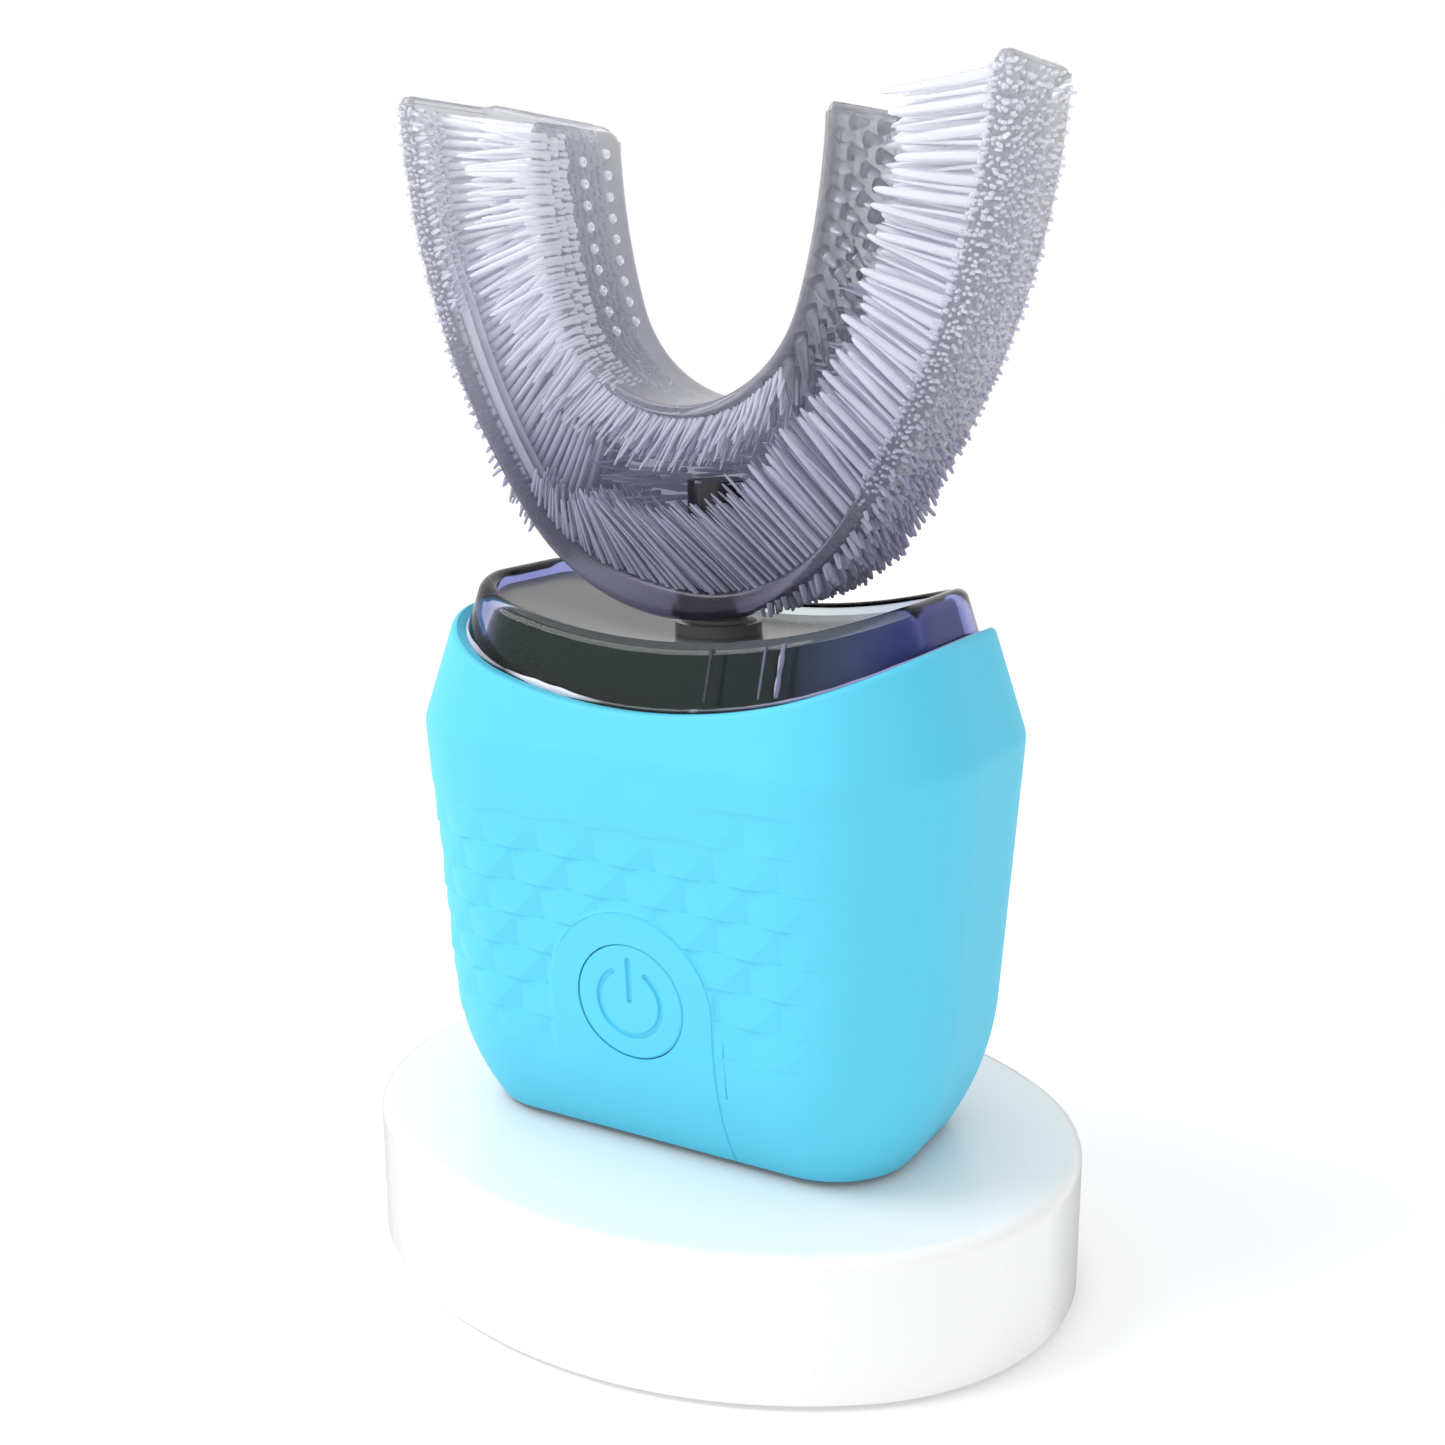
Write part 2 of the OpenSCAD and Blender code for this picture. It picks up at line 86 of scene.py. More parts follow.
def material(name, color, rough=0.5, grain=0.4, bump=0.1, tint=0.04, rough_swing=0.06, **sockets):
    """A procedural finish: a noise of grain millimetres moves the colour, the roughness and the surface."""
    mat = bpy.data.materials.new(name)
    mat.use_nodes = True
    tree, bsdf = mat.node_tree, shader(mat)
    coords = add_node(tree, "TexCoord")["Object"]
    fine = noise(tree, coords, 1 / (grain * MM), 3)
    broad = noise(tree, coords, 1 / (grain * BROAD_GRAIN * MM), 2)
    darker = (*[c * (1 - tint) for c in color], 1)
    paler = (*[min(c * (1 + tint), 1) for c in color], 1)
    tree.links.new(add_node(tree, "MixRGB", broad, darker, paler)[0], bsdf.inputs["Base Color"])
    low, high = max(rough - rough_swing, 0), min(rough + rough_swing, 1)
    tree.links.new(add_node(tree, "MapRange", fine, None, None, low, high)[0], bsdf.inputs["Roughness"])
    if bump:
        relief = tree.nodes.new("ShaderNodeBump")
        relief.inputs["Strength"].default_value = bump
        relief.inputs["Distance"].default_value = 0.05 * MM
        tree.links.new(fine, relief.inputs["Height"])
        tree.links.new(relief.outputs[0], bsdf.inputs["Normal"])
    for socket, value in sockets.items():
        bsdf.inputs[socket.replace("_", " ")].default_value = value
    return mat


def share_of(tree, coords, axis, low, high):
    """How far a point lies from low to high along an axis, as 0 to 1."""
    place = add_node(tree, "SeparateXYZ", coords)[axis]
    return add_node(tree, "MapRange", place, low * MM, high * MM)[0]


def colour_ramp(tree, value, stops, low, high):
    """Colours at places between low and high, picked by a value of 0 to 1."""
    ramp = tree.nodes.new("ShaderNodeValToRGB")
    elements = ramp.color_ramp.elements
    while len(elements) < len(stops):
        elements.new(0.5)
    for element, (at, color) in zip(elements, stops):
        element.position = (at - low) / (high - low)
        element.color = (*color, 1)
    tree.links.new(value, ramp.inputs[0])
    return ramp.outputs[0]


def multiply_base(mat, color):
    """Multiply a finish's base colour by another colour socket."""
    tree, base = mat.node_tree, shader(mat).inputs["Base Color"]
    mixed = add_node(tree, "MixRGB", 1, base.links[0].from_socket, color, blend_type="MULTIPLY")
    tree.links.new(mixed[0], base)


def along(mat, axis, stops, jitter=0.0):
    """Recolour a finish along one axis of the part: stops are (place in mm, colour)."""
    tree = mat.node_tree
    coords = add_node(tree, "TexCoord")["Object"]
    low, high = stops[0][0], stops[-1][0]
    value = share_of(tree, coords, axis, low, high)
    if jitter:
        wander = noise(tree, coords, 1 / (4 * MM), 3)
        value = add_node(tree, "Math", wander, jitter, value, operation="MULTIPLY_ADD")[0]
    multiply_base(mat, colour_ramp(tree, value, stops, low, high))


BROAD_GRAIN = 22

# How far the collar reaches to each side, and the radius of the boss round its stem
COLLAR_END, BOSS_R = 26, 5

CYAN = (0.09, 0.605, 0.83)
WHITE = (0.88, 0.88, 0.88)
FINISHES = {
    # The charger's faint white glow (its emission) is painted light.
    "charger_white": material("white_gloss", WHITE, 0.3, 0.6, 0.03, 0.008, Emission_Strength=0.03),
    "foot_rubber": material("black_rubber", (0.03, 0.03, 0.032), 0.8, 0.25, 0.35, 0.15),
    "steel": material("plain_steel", (0.62, 0.63, 0.65), 0.3, 0.2, 0.15, 0.06, Metallic=1.0),
    "board_green": material("solder_mask", (0.02, 0.2, 0.08), 0.35, 0.5, 0.3, 0.3),
    "inner_plastic": material("off_white_plastic", (0.8, 0.8, 0.76), 0.45, 0.4, 0.12),
    "copper": material("enamelled_copper", (0.68, 0.27, 0.12), 0.3, 0.2, 0.3, 0.15, Metallic=0.9),
    "ferrite": material("dark_ferrite", (0.05, 0.05, 0.055), 0.55, 0.15, 0.35, 0.2),
    "dark_plastic": material("dark_plastic", (0.012, 0.014, 0.018), 0.45, 0.25, 0.2, 0.15),
    "cyan_silicone": material("cyan_silicone", CYAN, 0.58, 0.16, 0.16, 0.015, Sheen_Weight=0.04),
    "cyan_button": material("cyan_button", CYAN, 0.55, 0.16, 0.16, 0.015, Sheen_Weight=0.04),
    "case_plastic": material("case_plastic", (0.16, 0.18, 0.2), 0.5, 0.3, 0.2),
    "cell_wrap": material("cell_wrap", (0.05, 0.16, 0.55), 0.25, 0.8, 0.1, 0.05),
    "bronze": material("sintered_bronze", (0.55, 0.36, 0.14), 0.42, 0.12, 0.35, 0.12, Metallic=1.0),
    "stem_steel": material("satin_steel", (0.34, 0.35, 0.37), 0.32, 0.15, 0.12, 0.06, Metallic=1.0),
    "led": material("clear_led", (0.35, 0.36, 0.95), 0.15, 0.5, 0.05, Emission_Strength=1.2),
    "smoky_lens": material(
        "smoky_lens", (0.62, 0.67, 0.67), 0.04, 2.5, 0.05, 0.05, 0.02, Transmission_Weight=1.0, IOR=1.3
    ),
    "collar_dark": material("collar_insert", (1, 1, 1), 0.16, 1.2, 0.06, 0.06, 0.05, Specular_IOR_Level=0.18),
    "seal_grey": material("grey_rubber", (0.5, 0.5, 0.48), 0.4, 0.3, 0.2, 0.1),
    "core_plastic": material("core_plastic", (0.02, 0.018, 0.028), 0.22, 0.5, 0.1, 0.1),
    "tray_silicone": material(
        "smoky_silicone", (1, 1, 1), 0.2, 0.9, 0.12, 0.04, 0.06, Transmission_Weight=0.85, IOR=1.36
    ),
}
shader(FINISHES["led"]).inputs["Emission Color"].default_value = (0.3, 0.3, 1, 1)
TRAY_STOPS = [
    (TRAY_Z, (0.06, 0.055, 0.11)),
    (TRAY_Z + 6, (0.24, 0.235, 0.35)),
    (TRAY_Z + 20, (0.52, 0.525, 0.6)),
    (TRAY_Z + 48, (0.72, 0.73, 0.76)),
]
along(FINISHES["tray_silicone"], "Z", TRAY_STOPS)
# Painted light: the bristles glow faintly in their own colour, for a lifted, translucent look.
BRISTLE_LOOK_AND_GLOW = dict(Transmission_Weight=0.4, IOR=1.36, Emission_Strength=0.08)
BRISTLE = material("bristle_silicone", (1, 1, 1), 0.2, 0.5, 0.1, 0.04, 0.08, **BRISTLE_LOOK_AND_GLOW)
# Darker towards the bottom of the U: the lilac tint is the silicone's own, the darkening of the low bristles
# is painted shade of the deep channel under the core.
BRISTLE_TINT_AND_SHADE_STOPS = [
    (TRAY_Z, (0.12, 0.115, 0.18)),
    (TRAY_Z + 9, (0.28, 0.28, 0.39)),
    (TRAY_Z + 19, (0.48, 0.485, 0.62)),
    (TRAY_Z + 32, (0.78, 0.79, 0.89)),
    (TRAY_Z + 48, (0.9, 0.91, 0.97)),
]
along(BRISTLE, "Z", BRISTLE_TINT_AND_SHADE_STOPS, jitter=0.2)
# The glow takes the bristles' colour: painted light.
BRISTLE_COLOUR = shader(BRISTLE).inputs["Base Color"].links[0].from_socket
BRISTLE.node_tree.links.new(BRISTLE_COLOUR, shader(BRISTLE).inputs["Emission Color"])
# Painted highlights: the glint finish paints white glints, dark gaps and, at the ends, violet light along the
# collar's bead and ribs.
GLINT = material("glass_glint", (0.9, 0.9, 0.95), 0.16, 0.5, 0.0, 0.02, 0.04, Transmission_Weight=0.3)
GLINT_STOPS = [
    (-COLLAR_END, (0.3, 0.3, 0.8)),
    (-20, (0.95, 0.95, 1.0)),
    (-13.5, (0.05, 0.06, 0.08)),
    (-11.5, (1.0, 1.0, 1.0)),
    (-5, (0.85, 0.86, 0.9)),
    (-2, (0.03, 0.04, 0.04)),
    (6.9, (0.05, 0.06, 0.07)),
    (7.5, (0.25, 0.27, 0.32)),
    (8.5, (0.04, 0.05, 0.06)),
    (13, (0.14, 0.15, 0.2)),
    (25, (0.55, 0.55, 0.9)),
]
along(GLINT, "X", GLINT_STOPS, jitter=0.05)


def lens_colours():
    """Violet-blue at both ends of the collar, where its lights shine into the clear plastic."""
    stops = [
        (-COLLAR_END, (0.2, 0.18, 0.75)),
        (-21, (0.4, 0.4, 0.85)),
        (-14, (1, 1, 1)),
        (4, (1, 1, 1)),
        (14, (0.86, 0.88, 1.0)),
        (22, (0.74, 0.76, 1.0)),
        (COLLAR_END, (0.32, 0.31, 0.85)),
    ]
    along(FINISHES["smoky_lens"], "X", stops, jitter=0.06)


def charger_edge_shade_and_glow():
    """Painted shade: the glossy white casing greys a little where it is seen edge on. Its faint white glow is
    painted light.
    """
    mat = FINISHES["charger_white"]
    tree = mat.node_tree
    shader(mat).inputs["Emission Color"].default_value = (1, 1, 1, 1)
    # Painted shade: the base colour darkens where the casing is seen edge on.
    facing = add_node(tree, "LayerWeight", 0.5)["Facing"]
    stops = [(0.6, (1, 1, 1)), (1.0, (0.3, 0.3, 0.31))]
    multiply_base(mat, colour_ramp(tree, facing, stops, 0, 1))


def insert_colours():
    """Grey on the insert's boss and on its faces that look up, where the grey is painted light on the dark
    plastic; green-black on its sides, which end in violet, painted light from the collar's lights.
    """
    mat = FINISHES["collar_dark"]
    tree = mat.node_tree
    normal = add_node(tree, "NewGeometry")["True Normal"]
    # Painted light: faces that look up turn grey, as if the sky lit the dark plastic's top.
    facing_up = add_node(tree, "MapRange", add_node(tree, "SeparateXYZ", normal)["Z"], 0.55, 0.75)[0]
    coords = add_node(tree, "TexCoord")["Object"]
    flat = add_node(tree, "VectorMath", coords, (1, 1, 0), operation="MULTIPLY")[0]
    reach = add_node(tree, "VectorMath", flat, operation="LENGTH")["Value"]
    boss = add_node(tree, "Math", reach, BOSS_R * MM, operation="LESS_THAN")[0]
    grey = add_node(tree, "Math", facing_up, boss, operation="MAXIMUM")[0]
    dark = (0.007, 0.034, 0.026)
    # The violet at both ends is painted light from the collar's lights.
    stops = [(-25, (0.34, 0.34, 0.62)), (-21, (0.05, 0.07, 0.09)), (-17, dark)]
    stops += [(14, dark), (19, (0.2, 0.22, 0.34)), (24, (0.6, 0.62, 0.85))]
    place = share_of(tree, coords, "X", -COLLAR_END, COLLAR_END)
    sides = colour_ramp(tree, place, stops, -COLLAR_END, COLLAR_END)
    multiply_base(mat, add_node(tree, "MixRGB", grey, sides, (0.2, 0.205, 0.205, 1))[0])


def dress_cad_nodes():
    """Give every CAD node the finish that its slot names."""
    for row in frame["record"]["subparts"]:
        mesh = NODES[row["node"]].data
        mesh.materials.clear()
        mesh.materials.append(FINISHES[row["material_slot"]])


# ---- Mesh helpers ----


def piece(name, verts, faces, body, slot, finish=None, sharp=30, replaces=()):
    """A mesh piece in millimetres that rides on a CAD body. Its vertices come as a list or as a grid."""
    mesh = bpy.data.meshes.new(name)
    mesh.from_pydata((np.asarray(verts).reshape(-1, 3) * MM).tolist(), [], faces)
    mesh.validate()
    mesh.shade_smooth()
    mesh.set_sharp_from_angle(angle=math.radians(sharp))
    mesh.materials.append(finish or FINISHES[slot])
    obj = bpy.data.objects.new(name, mesh)
    bpy.context.scene.collection.objects.link(obj)
    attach(obj, body)
    if replaces:
        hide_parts(*replaces)
    return obj


def grid_faces(cols, rows, wrap_cols, wrap_rows, start=0):
    """Quads of a grid whose vertex (i, j) has number start + i * rows + j."""
    i = np.arange(cols if wrap_cols else cols - 1)[:, None]
    j = np.arange(rows if wrap_rows else rows - 1)[None, :]
    i2, j2 = (i + 1) % cols, (j + 1) % rows
    quads = np.stack([i * rows + j, i2 * rows + j, i2 * rows + j2, i * rows + j2], -1)
    return (quads.reshape(-1, 4) + start).tolist()


def circle(sides):
    """Even angles round a full turn."""
    return np.linspace(0, 2 * math.pi, sides, endpoint=False)


def end_faces(first, last, count):
    """The faces that close a swept loop: its first ring, turned over, and its last."""
    return [[first + k for k in range(count)][::-1], [last + k for k in range(count)]]


def lathe(profile, sides=72):
    """Turn (radius, z) points about the upright axis. The profile is a closed loop."""
    angle = circle(sides)
    r, z = np.array(profile, float).T
    x = np.outer(np.cos(angle), r)
    y = np.outer(np.sin(angle), r)
    verts = np.stack([x, y, np.broadcast_to(z, x.shape)], -1).reshape(-1, 3)
    return verts, grid_faces(sides, len(z), True, True)


def bend_between(start, corner, end, t):
    """A place along a curve that leaves start towards a corner and arrives at end."""
    return (1 - t) ** 2 * start + 2 * t * (1 - t) * corner + t**2 * end


def rounded_loop(corners, radii, steps=5):
    """A closed 2D outline with each corner rounded."""
    out, n = [], len(corners)
    pts = [np.array(c, float) for c in corners]
    for k in range(n):
        before, here, after = pts[k - 1], pts[k], pts[(k + 1) % n]
        a, b = before - here, after - here
        la, lb = np.linalg.norm(a), np.linalg.norm(b)
        cut = min(radii[k], la * 0.49, lb * 0.49)
        start, end = here + a / la * cut, here + b / lb * cut
        for t in np.linspace(0, 1, steps):
            out.append(bend_between(start, here, end, t))
    return np.array(out)


def bristles(roots, ways, lengths, r_root, r_tip, bend=None, sides=6):
    """Tapered round-tipped bristles as one mesh: roots and ways are n x 3, in millimetres."""
    n = len(roots)
    ways = ways / np.linalg.norm(ways, axis=1, keepdims=True)
    bend = np.zeros((n, 3)) if bend is None else bend
    helper = np.where(np.abs(ways[:, 1:2]) < 0.9, [[0.0, 1.0, 0.0]], [[1.0, 0.0, 0.0]])
    side = np.cross(ways, helper)
    side /= np.linalg.norm(side, axis=1, keepdims=True)
    up = np.cross(ways, side)
    steps = np.array([0, 0.35, 0.7, 0.9, 0.975, 1.0])
    round_off = np.array([1, 1, 1, 0.94, 0.68, 0.25])
    rings = len(steps)
    radius = (r_root[:, None] * (1 - steps) + r_tip[:, None] * steps) * round_off
    centre = (
        roots[:, None]
        + ways[:, None] * (lengths[:, None] * steps)[..., None]
        + bend[:, None] * (lengths[:, None] * steps**2)[..., None]
    )
    angle = circle(sides)
    spoke = side[:, None] * np.cos(angle)[:, None] + up[:, None] * np.sin(angle)[:, None]
    verts = centre[:, :, None] + radius[:, :, None, None] * spoke[:, None]
    one = []
    for ring in range(rings - 1):
        for k in range(sides):
            k2 = (k + 1) % sides
            one.append([ring * sides + k, ring * sides + k2, (ring + 1) * sides + k2, (ring + 1) * sides + k])
    caps = [[(rings - 1) * sides + k for k in range(sides)], [sides - 1 - k for k in range(sides)]]
    size = rings * sides
    quads = (np.array(one)[None] + (np.arange(n) * size)[:, None, None]).reshape(-1, 4).tolist()
    ends = (np.array(caps)[None] + (np.arange(n) * size)[:, None, None]).reshape(-1, sides).tolist()
    return verts.reshape(-1, 3), quads + ends


def jitter(items, amount):
    """A random number between minus and plus an amount for each item."""
    return RANDOM.uniform(-amount, amount, len(items))


def full(items, value):
    """The same value for each item."""
    return np.full(len(items), value)


def tube(points, radius, sides):
    """A closed round bar along points, as a mesh in metres."""
    points = np.array(points, float)
    ahead = np.gradient(points, axis=0)
    ahead /= np.linalg.norm(ahead, axis=1, keepdims=True)
    side = np.cross(ahead, [0.0, 1.0, 0.0])
    side /= np.linalg.norm(side, axis=1, keepdims=True)
    up = np.cross(side, ahead)
    angle = circle(sides)
    verts = points[:, None] + radius * (
        side[:, None] * np.cos(angle)[:, None] + up[:, None] * np.sin(angle)[:, None]
    )
    faces = grid_faces(len(points), sides, False, True) + end_faces(0, (len(points) - 1) * sides, sides)
    mesh = bpy.data.meshes.new("bar")
    mesh.from_pydata((verts.reshape(-1, 3) * MM).tolist(), [], faces)
    return mesh


def cut_away(skin, name, cutter):
    """Take a closed mesh away from a piece, for good."""
    cut = bpy.data.objects.new(name, cutter)
    bpy.context.scene.collection.objects.link(cut)
    modifier = skin.modifiers.new(name, "BOOLEAN")
    modifier.operation, modifier.solver, modifier.object = "DIFFERENCE", "EXACT", cut
    bpy.context.view_layer.update()
    solved = bpy.data.meshes.new_from_object(skin.evaluated_get(bpy.context.evaluated_depsgraph_get()))
    old = skin.data
    skin.modifiers.clear()
    skin.data = solved
    bpy.data.meshes.remove(old)
    bpy.data.objects.remove(cut)


# ---- Handle: the outline that the sleeve, the lens and the button share ----

CORE_X, CORE_Y = 15.1, 4.1
FOOT, BELLY, SHOULDER = (8.3, 0.7), (12.9, 14.5), (14.7, 41.0)
CROWN_SLOPE, CROWN_END, FILLET = 0.3235, 62, 3.0
CORNER_R = 14
BUTTON_Z, BUTTON_R = 17.0, 5.85


def arc_points(centre, radius, angles):
    return [centre + radius * np.array([math.cos(a), math.sin(a)]) for a in angles]


def outline(inset):
    """Corner radius against height of the handle's side: foot curve, straight draft, shoulder, crown."""
    foot, belly, shoulder = (np.array(p) for p in (FOOT, BELLY, SHOULDER))
    draft = (shoulder - belly) / np.linalg.norm(shoulder - belly)
    out = np.array([draft[1], -draft[0]])
    chord = foot - belly
    curve_r = -chord @ chord / (2 * chord @ out)
    centre = belly - curve_r * out
    low = math.atan2(*(foot - centre)[::-1])
    points = arc_points(centre, curve_r - inset, np.linspace(low, math.atan2(out[1], out[0]), 40))
    crown = math.atan(CROWN_SLOPE)
    lean = math.asin(out[1])
    mid, half = (crown + lean) / 2, (crown - lean) / 2
    toward = np.array([math.cos(mid), math.sin(mid)])
    centre = shoulder - FILLET / math.cos(half) * toward
    fillet = max(FILLET - inset, 0)
    centre = centre + min(FILLET - inset, 0) / math.cos(half) * toward
    points += arc_points(centre, fillet, np.linspace(lean, crown, 12))
    last = points[-1]
    points.append(last + (CROWN_END - last[1]) * np.array([-CROWN_SLOPE, 1]))
    return np.array(points)


OUTER = outline(0)


def side_radius(z, inset=0.0):
    """Corner radius of the handle's plan at a height, on the outside or on a wall inset from it."""
    line = OUTER if inset == 0 else outline(inset)
    return np.interp(z, line[:, 1], line[:, 0])


def stations(step, front=None):
    """Places round the handle's plan, from the middle of the back: core x, core y, normal x, normal y.
    front gives the x places along the front's straight run instead of even ones."""
    out = []
    flat = max(int(round(2 * CORE_X / step)), 2)
    end = max(int(round(2 * CORE_Y / step)), 2)
    arc = max(int(round(math.pi / 2 * CORNER_R / step)), 4)

    def straight(x0, y0, x1, y1, n, nx, ny):
        out.extend([(x0 + (x1 - x0) * k / n, y0 + (y1 - y0) * k / n, nx, ny) for k in range(n)])

    def corner(x, y, a0, n):
        for k in range(n):
            a = math.radians(a0 + 90 * k / n)
            out.append((x, y, math.cos(a), math.sin(a)))

    straight(0, CORE_Y, -CORE_X, CORE_Y, flat // 2, 0, 1)
    corner(-CORE_X, CORE_Y, 90, arc)
    straight(-CORE_X, CORE_Y, -CORE_X, -CORE_Y, end, -1, 0)
    corner(-CORE_X, -CORE_Y, 180, arc)
    if front is None:
        straight(-CORE_X, -CORE_Y, CORE_X, -CORE_Y, flat, 0, -1)
    else:
        out.extend([(x, -CORE_Y, 0, -1) for x in front])
    corner(CORE_X, -CORE_Y, 270, arc)
    straight(CORE_X, -CORE_Y, CORE_X, CORE_Y, end, 1, 0)
    corner(CORE_X, CORE_Y, 0, arc)
    straight(CORE_X, CORE_Y, 0, CORE_Y, flat // 2, 0, 1)
    return np.array(out)


def dip_height(x, lowest, radius):
    """Height of a rim that dips along a trough running front to back."""
    return lowest + radius - np.sqrt(radius**2 - np.clip(x, -radius + 1, radius - 1) ** 2)


def rim_columns(places, inset, lowest, radius):
    """For each place round the handle, the height where the side at this inset meets the dipping rim."""
    z = np.full(len(places), lowest)
    for _ in range(12):
        x = places[:, 0] + places[:, 2] * side_radius(z, inset)
        z = dip_height(x, lowest, radius)
    return z


def wall_point(places, z, inset):
    """Points on the handle's side, or at an inset below it. z has one row for each place. One inset for
    all follows the outline inset by that much, and an array of them moves each point straight in."""
    if np.ndim(inset) == 0:
        r = side_radius(z, inset)
    else:
        r = side_radius(z) - inset
    x = places[:, 0:1] + places[:, 2:3] * r
    y = places[:, 1:2] + places[:, 3:4] * r
    return np.stack([x, y, z + HANDLE_Z], -1)


# ---- Sleeve: soft cyan silicone with rows of shallow triangular facets ----

SLEEVE_T, SLEEVE_LIP, SLEEVE_FLOOR = 1.45, 0.45, 1.2
SLEEVE_RIM = (45.3, 58)
FACET_W, FACET_H, FACET_CUTS = 6.5, 3.45, 8
FACET_TOP, FACET_ROWS = 37.6, 9
FACET_FOOT, ROW_GAP = 6.55, 0.07
LEDGE, NOTCH = 0.3, 0.46
PANEL_R = 9.0


def smooth(x):
    """0 below 0 and 1 above 1, with an even curve between."""
    x = np.clip(x, 0, 1)
    return x * x * (3 - 2 * x)


def facet_mask(places, z):
    """Where the facets show: the front from the left end to right of the middle, the back's flat,
    fading low down, and not on the arched panel round the button."""
    x = places[:, 0:1] + places[:, 2:3] * side_radius(z)
    turn = np.degrees(np.arctan2(places[:, 2:3], -places[:, 3:4])) * np.ones_like(z)
    front = smooth((turn + 88) / 14) * (1 - smooth((turn - 1) / 26))
    back = 1 - smooth((180 - np.abs(turn)) / 20)
    keep = np.maximum(front, back) * smooth((z - 7) / 8)
    dz = z - BUTTON_Z
    away = np.where(dz > 0, np.hypot(x, dz), np.abs(x)) - PANEL_R
    on_front = np.abs(turn) < 60
    keep = keep * np.where(on_front & (x > 0), 0.25 + 0.75 * smooth((z - 9) / 12), 1)
    keep = keep * np.where(on_front, smooth(away / 0.5), 1)
    top_row = z > FACET_TOP - FACET_H
    in_top_row = np.where(on_front, 0.6 * smooth((x - 7.5) / 4), 0)
    below_it = 0.35 + 0.65 * smooth((FACET_TOP - FACET_H + 0.4 - z) / (FACET_H * 1.1))
    return keep * np.where(top_row, in_top_row, below_it)


def facet_rows():
    """Heights of the sleeve's vertices from the foot to the top of the facets. With each come the row of
    facets that it is in, or None, and its place in that row: 1 at the bottom to 0 at the top."""
    heights = [*np.arange(FOOT[1], FACET_FOOT - 0.05, 0.8), FACET_FOOT]
    strips, places_in_strip = [None] * len(heights), [0] * len(heights)
    for strip in range(FACET_ROWS - 1, -1, -1):
        top = FACET_TOP - strip * FACET_H
        for k in range(FACET_CUTS + 1):
            heights.append(top - FACET_H + (FACET_H - ROW_GAP) * k / FACET_CUTS)
            strips.append(strip)
            places_in_strip.append(1 - k / FACET_CUTS)
    return heights, strips, places_in_strip


def facet_press(places, z, cell, strips, places_in_strip):
    """How far each vertex is pressed in: a ledge along every row, and a notch in the row's dark triangles."""
    press = np.zeros_like(z)
    for j, (strip, t) in enumerate(zip(strips, places_in_strip)):
        if strip is None:
            continue
        a = (cell + strip) % 2
        near_peak = np.minimum(a, 2 - a)
        in_dark = (near_peak <= t + 1e-6) & (t > 0)
        press[:, j] = LEDGE * (1 - t) + np.where(in_dark, (t - near_peak) * NOTCH, 0)
    return press * facet_mask(places, z)


def facet_faces(cols, rows, cell, strips):
    """The sleeve's faces. Among the facets each quad is cut along the slope of the triangle's side."""
    faces = []
    for index, quad in enumerate(grid_faces(cols, rows, True, True)):
        i, j = divmod(index, rows)
        if j >= len(strips) - 1 or strips[j] is None:
            faces.append(quad)
            continue
        a, b, c, d = quad
        odd = math.floor((cell[i] + strips[j]) % 2 + 1e-6) % 2
        faces += [[a, b, c], [a, c, d]] if odd else [[a, b, d], [b, c, d]]
    return faces


def sleeve():
    """One grid of vertices: up the outside, round the rim, down the inside and closed under the foot."""
    half = FACET_W / 2
    step = half / FACET_CUTS
    count = int(CORE_X / step)
    places = stations(step, [k * step for k in range(-count, count + 1)])
    # The pattern runs on round the front corners, and cell counts it in half facets
    round_corner = CORNER_R * np.arctan2(places[:, 2], -places[:, 3]) * (places[:, 1] < 0)
    cell = np.where(places[:, 1] > 0, places[:, 0], places[:, 0] + round_corner) / half
    heights, strips, places_in_strip = facet_rows()
    rim = rim_columns(places, 0, *SLEEVE_RIM)[:, None]
    z_fixed = np.broadcast_to(np.array(heights), (len(places), len(heights)))
    z_top = heights[-1] + (rim - SLEEVE_LIP - heights[-1]) * np.linspace(0, 1, 26)[1:]
    z = np.concatenate([z_fixed, z_top], 1)
    outer = wall_point(places, z, facet_press(places, z, cell, strips, places_in_strip))
    lip = []
    for a in np.radians([22, 45, 68, 90]):
        inset = np.full_like(rim, SLEEVE_LIP * (1 - math.cos(a)))
        lip.append(wall_point(places, rim - SLEEVE_LIP + SLEEVE_LIP * math.sin(a), inset))
    inner_rim = rim_columns(places, SLEEVE_T, *SLEEVE_RIM)[:, None]
    lip.append(wall_point(places, inner_rim - 0.15, SLEEVE_T))
    down = SLEEVE_FLOOR + (inner_rim - 0.4 - SLEEVE_FLOOR) * np.linspace(1, 0, 14)
    inside = wall_point(places, down, SLEEVE_T)
    foot = wall_point(places, np.full_like(rim, FOOT[1]), np.full_like(rim, 0.5))
    grid = np.concatenate([outer, *lip, inside, foot], 1)
    faces = facet_faces(*grid.shape[:2], cell, strips)
    skin = piece("sleeve_skin", grid, faces, "handle", "cyan_silicone", replaces=["grip_sleeve"])
    carve_sleeve(skin)
    skin.data.set_sharp_from_angle(angle=math.radians(2.6))


def front_y(z):
    """How far forward the handle's flat front is at a height above its underside."""
    return -(CORE_Y + side_radius(z))


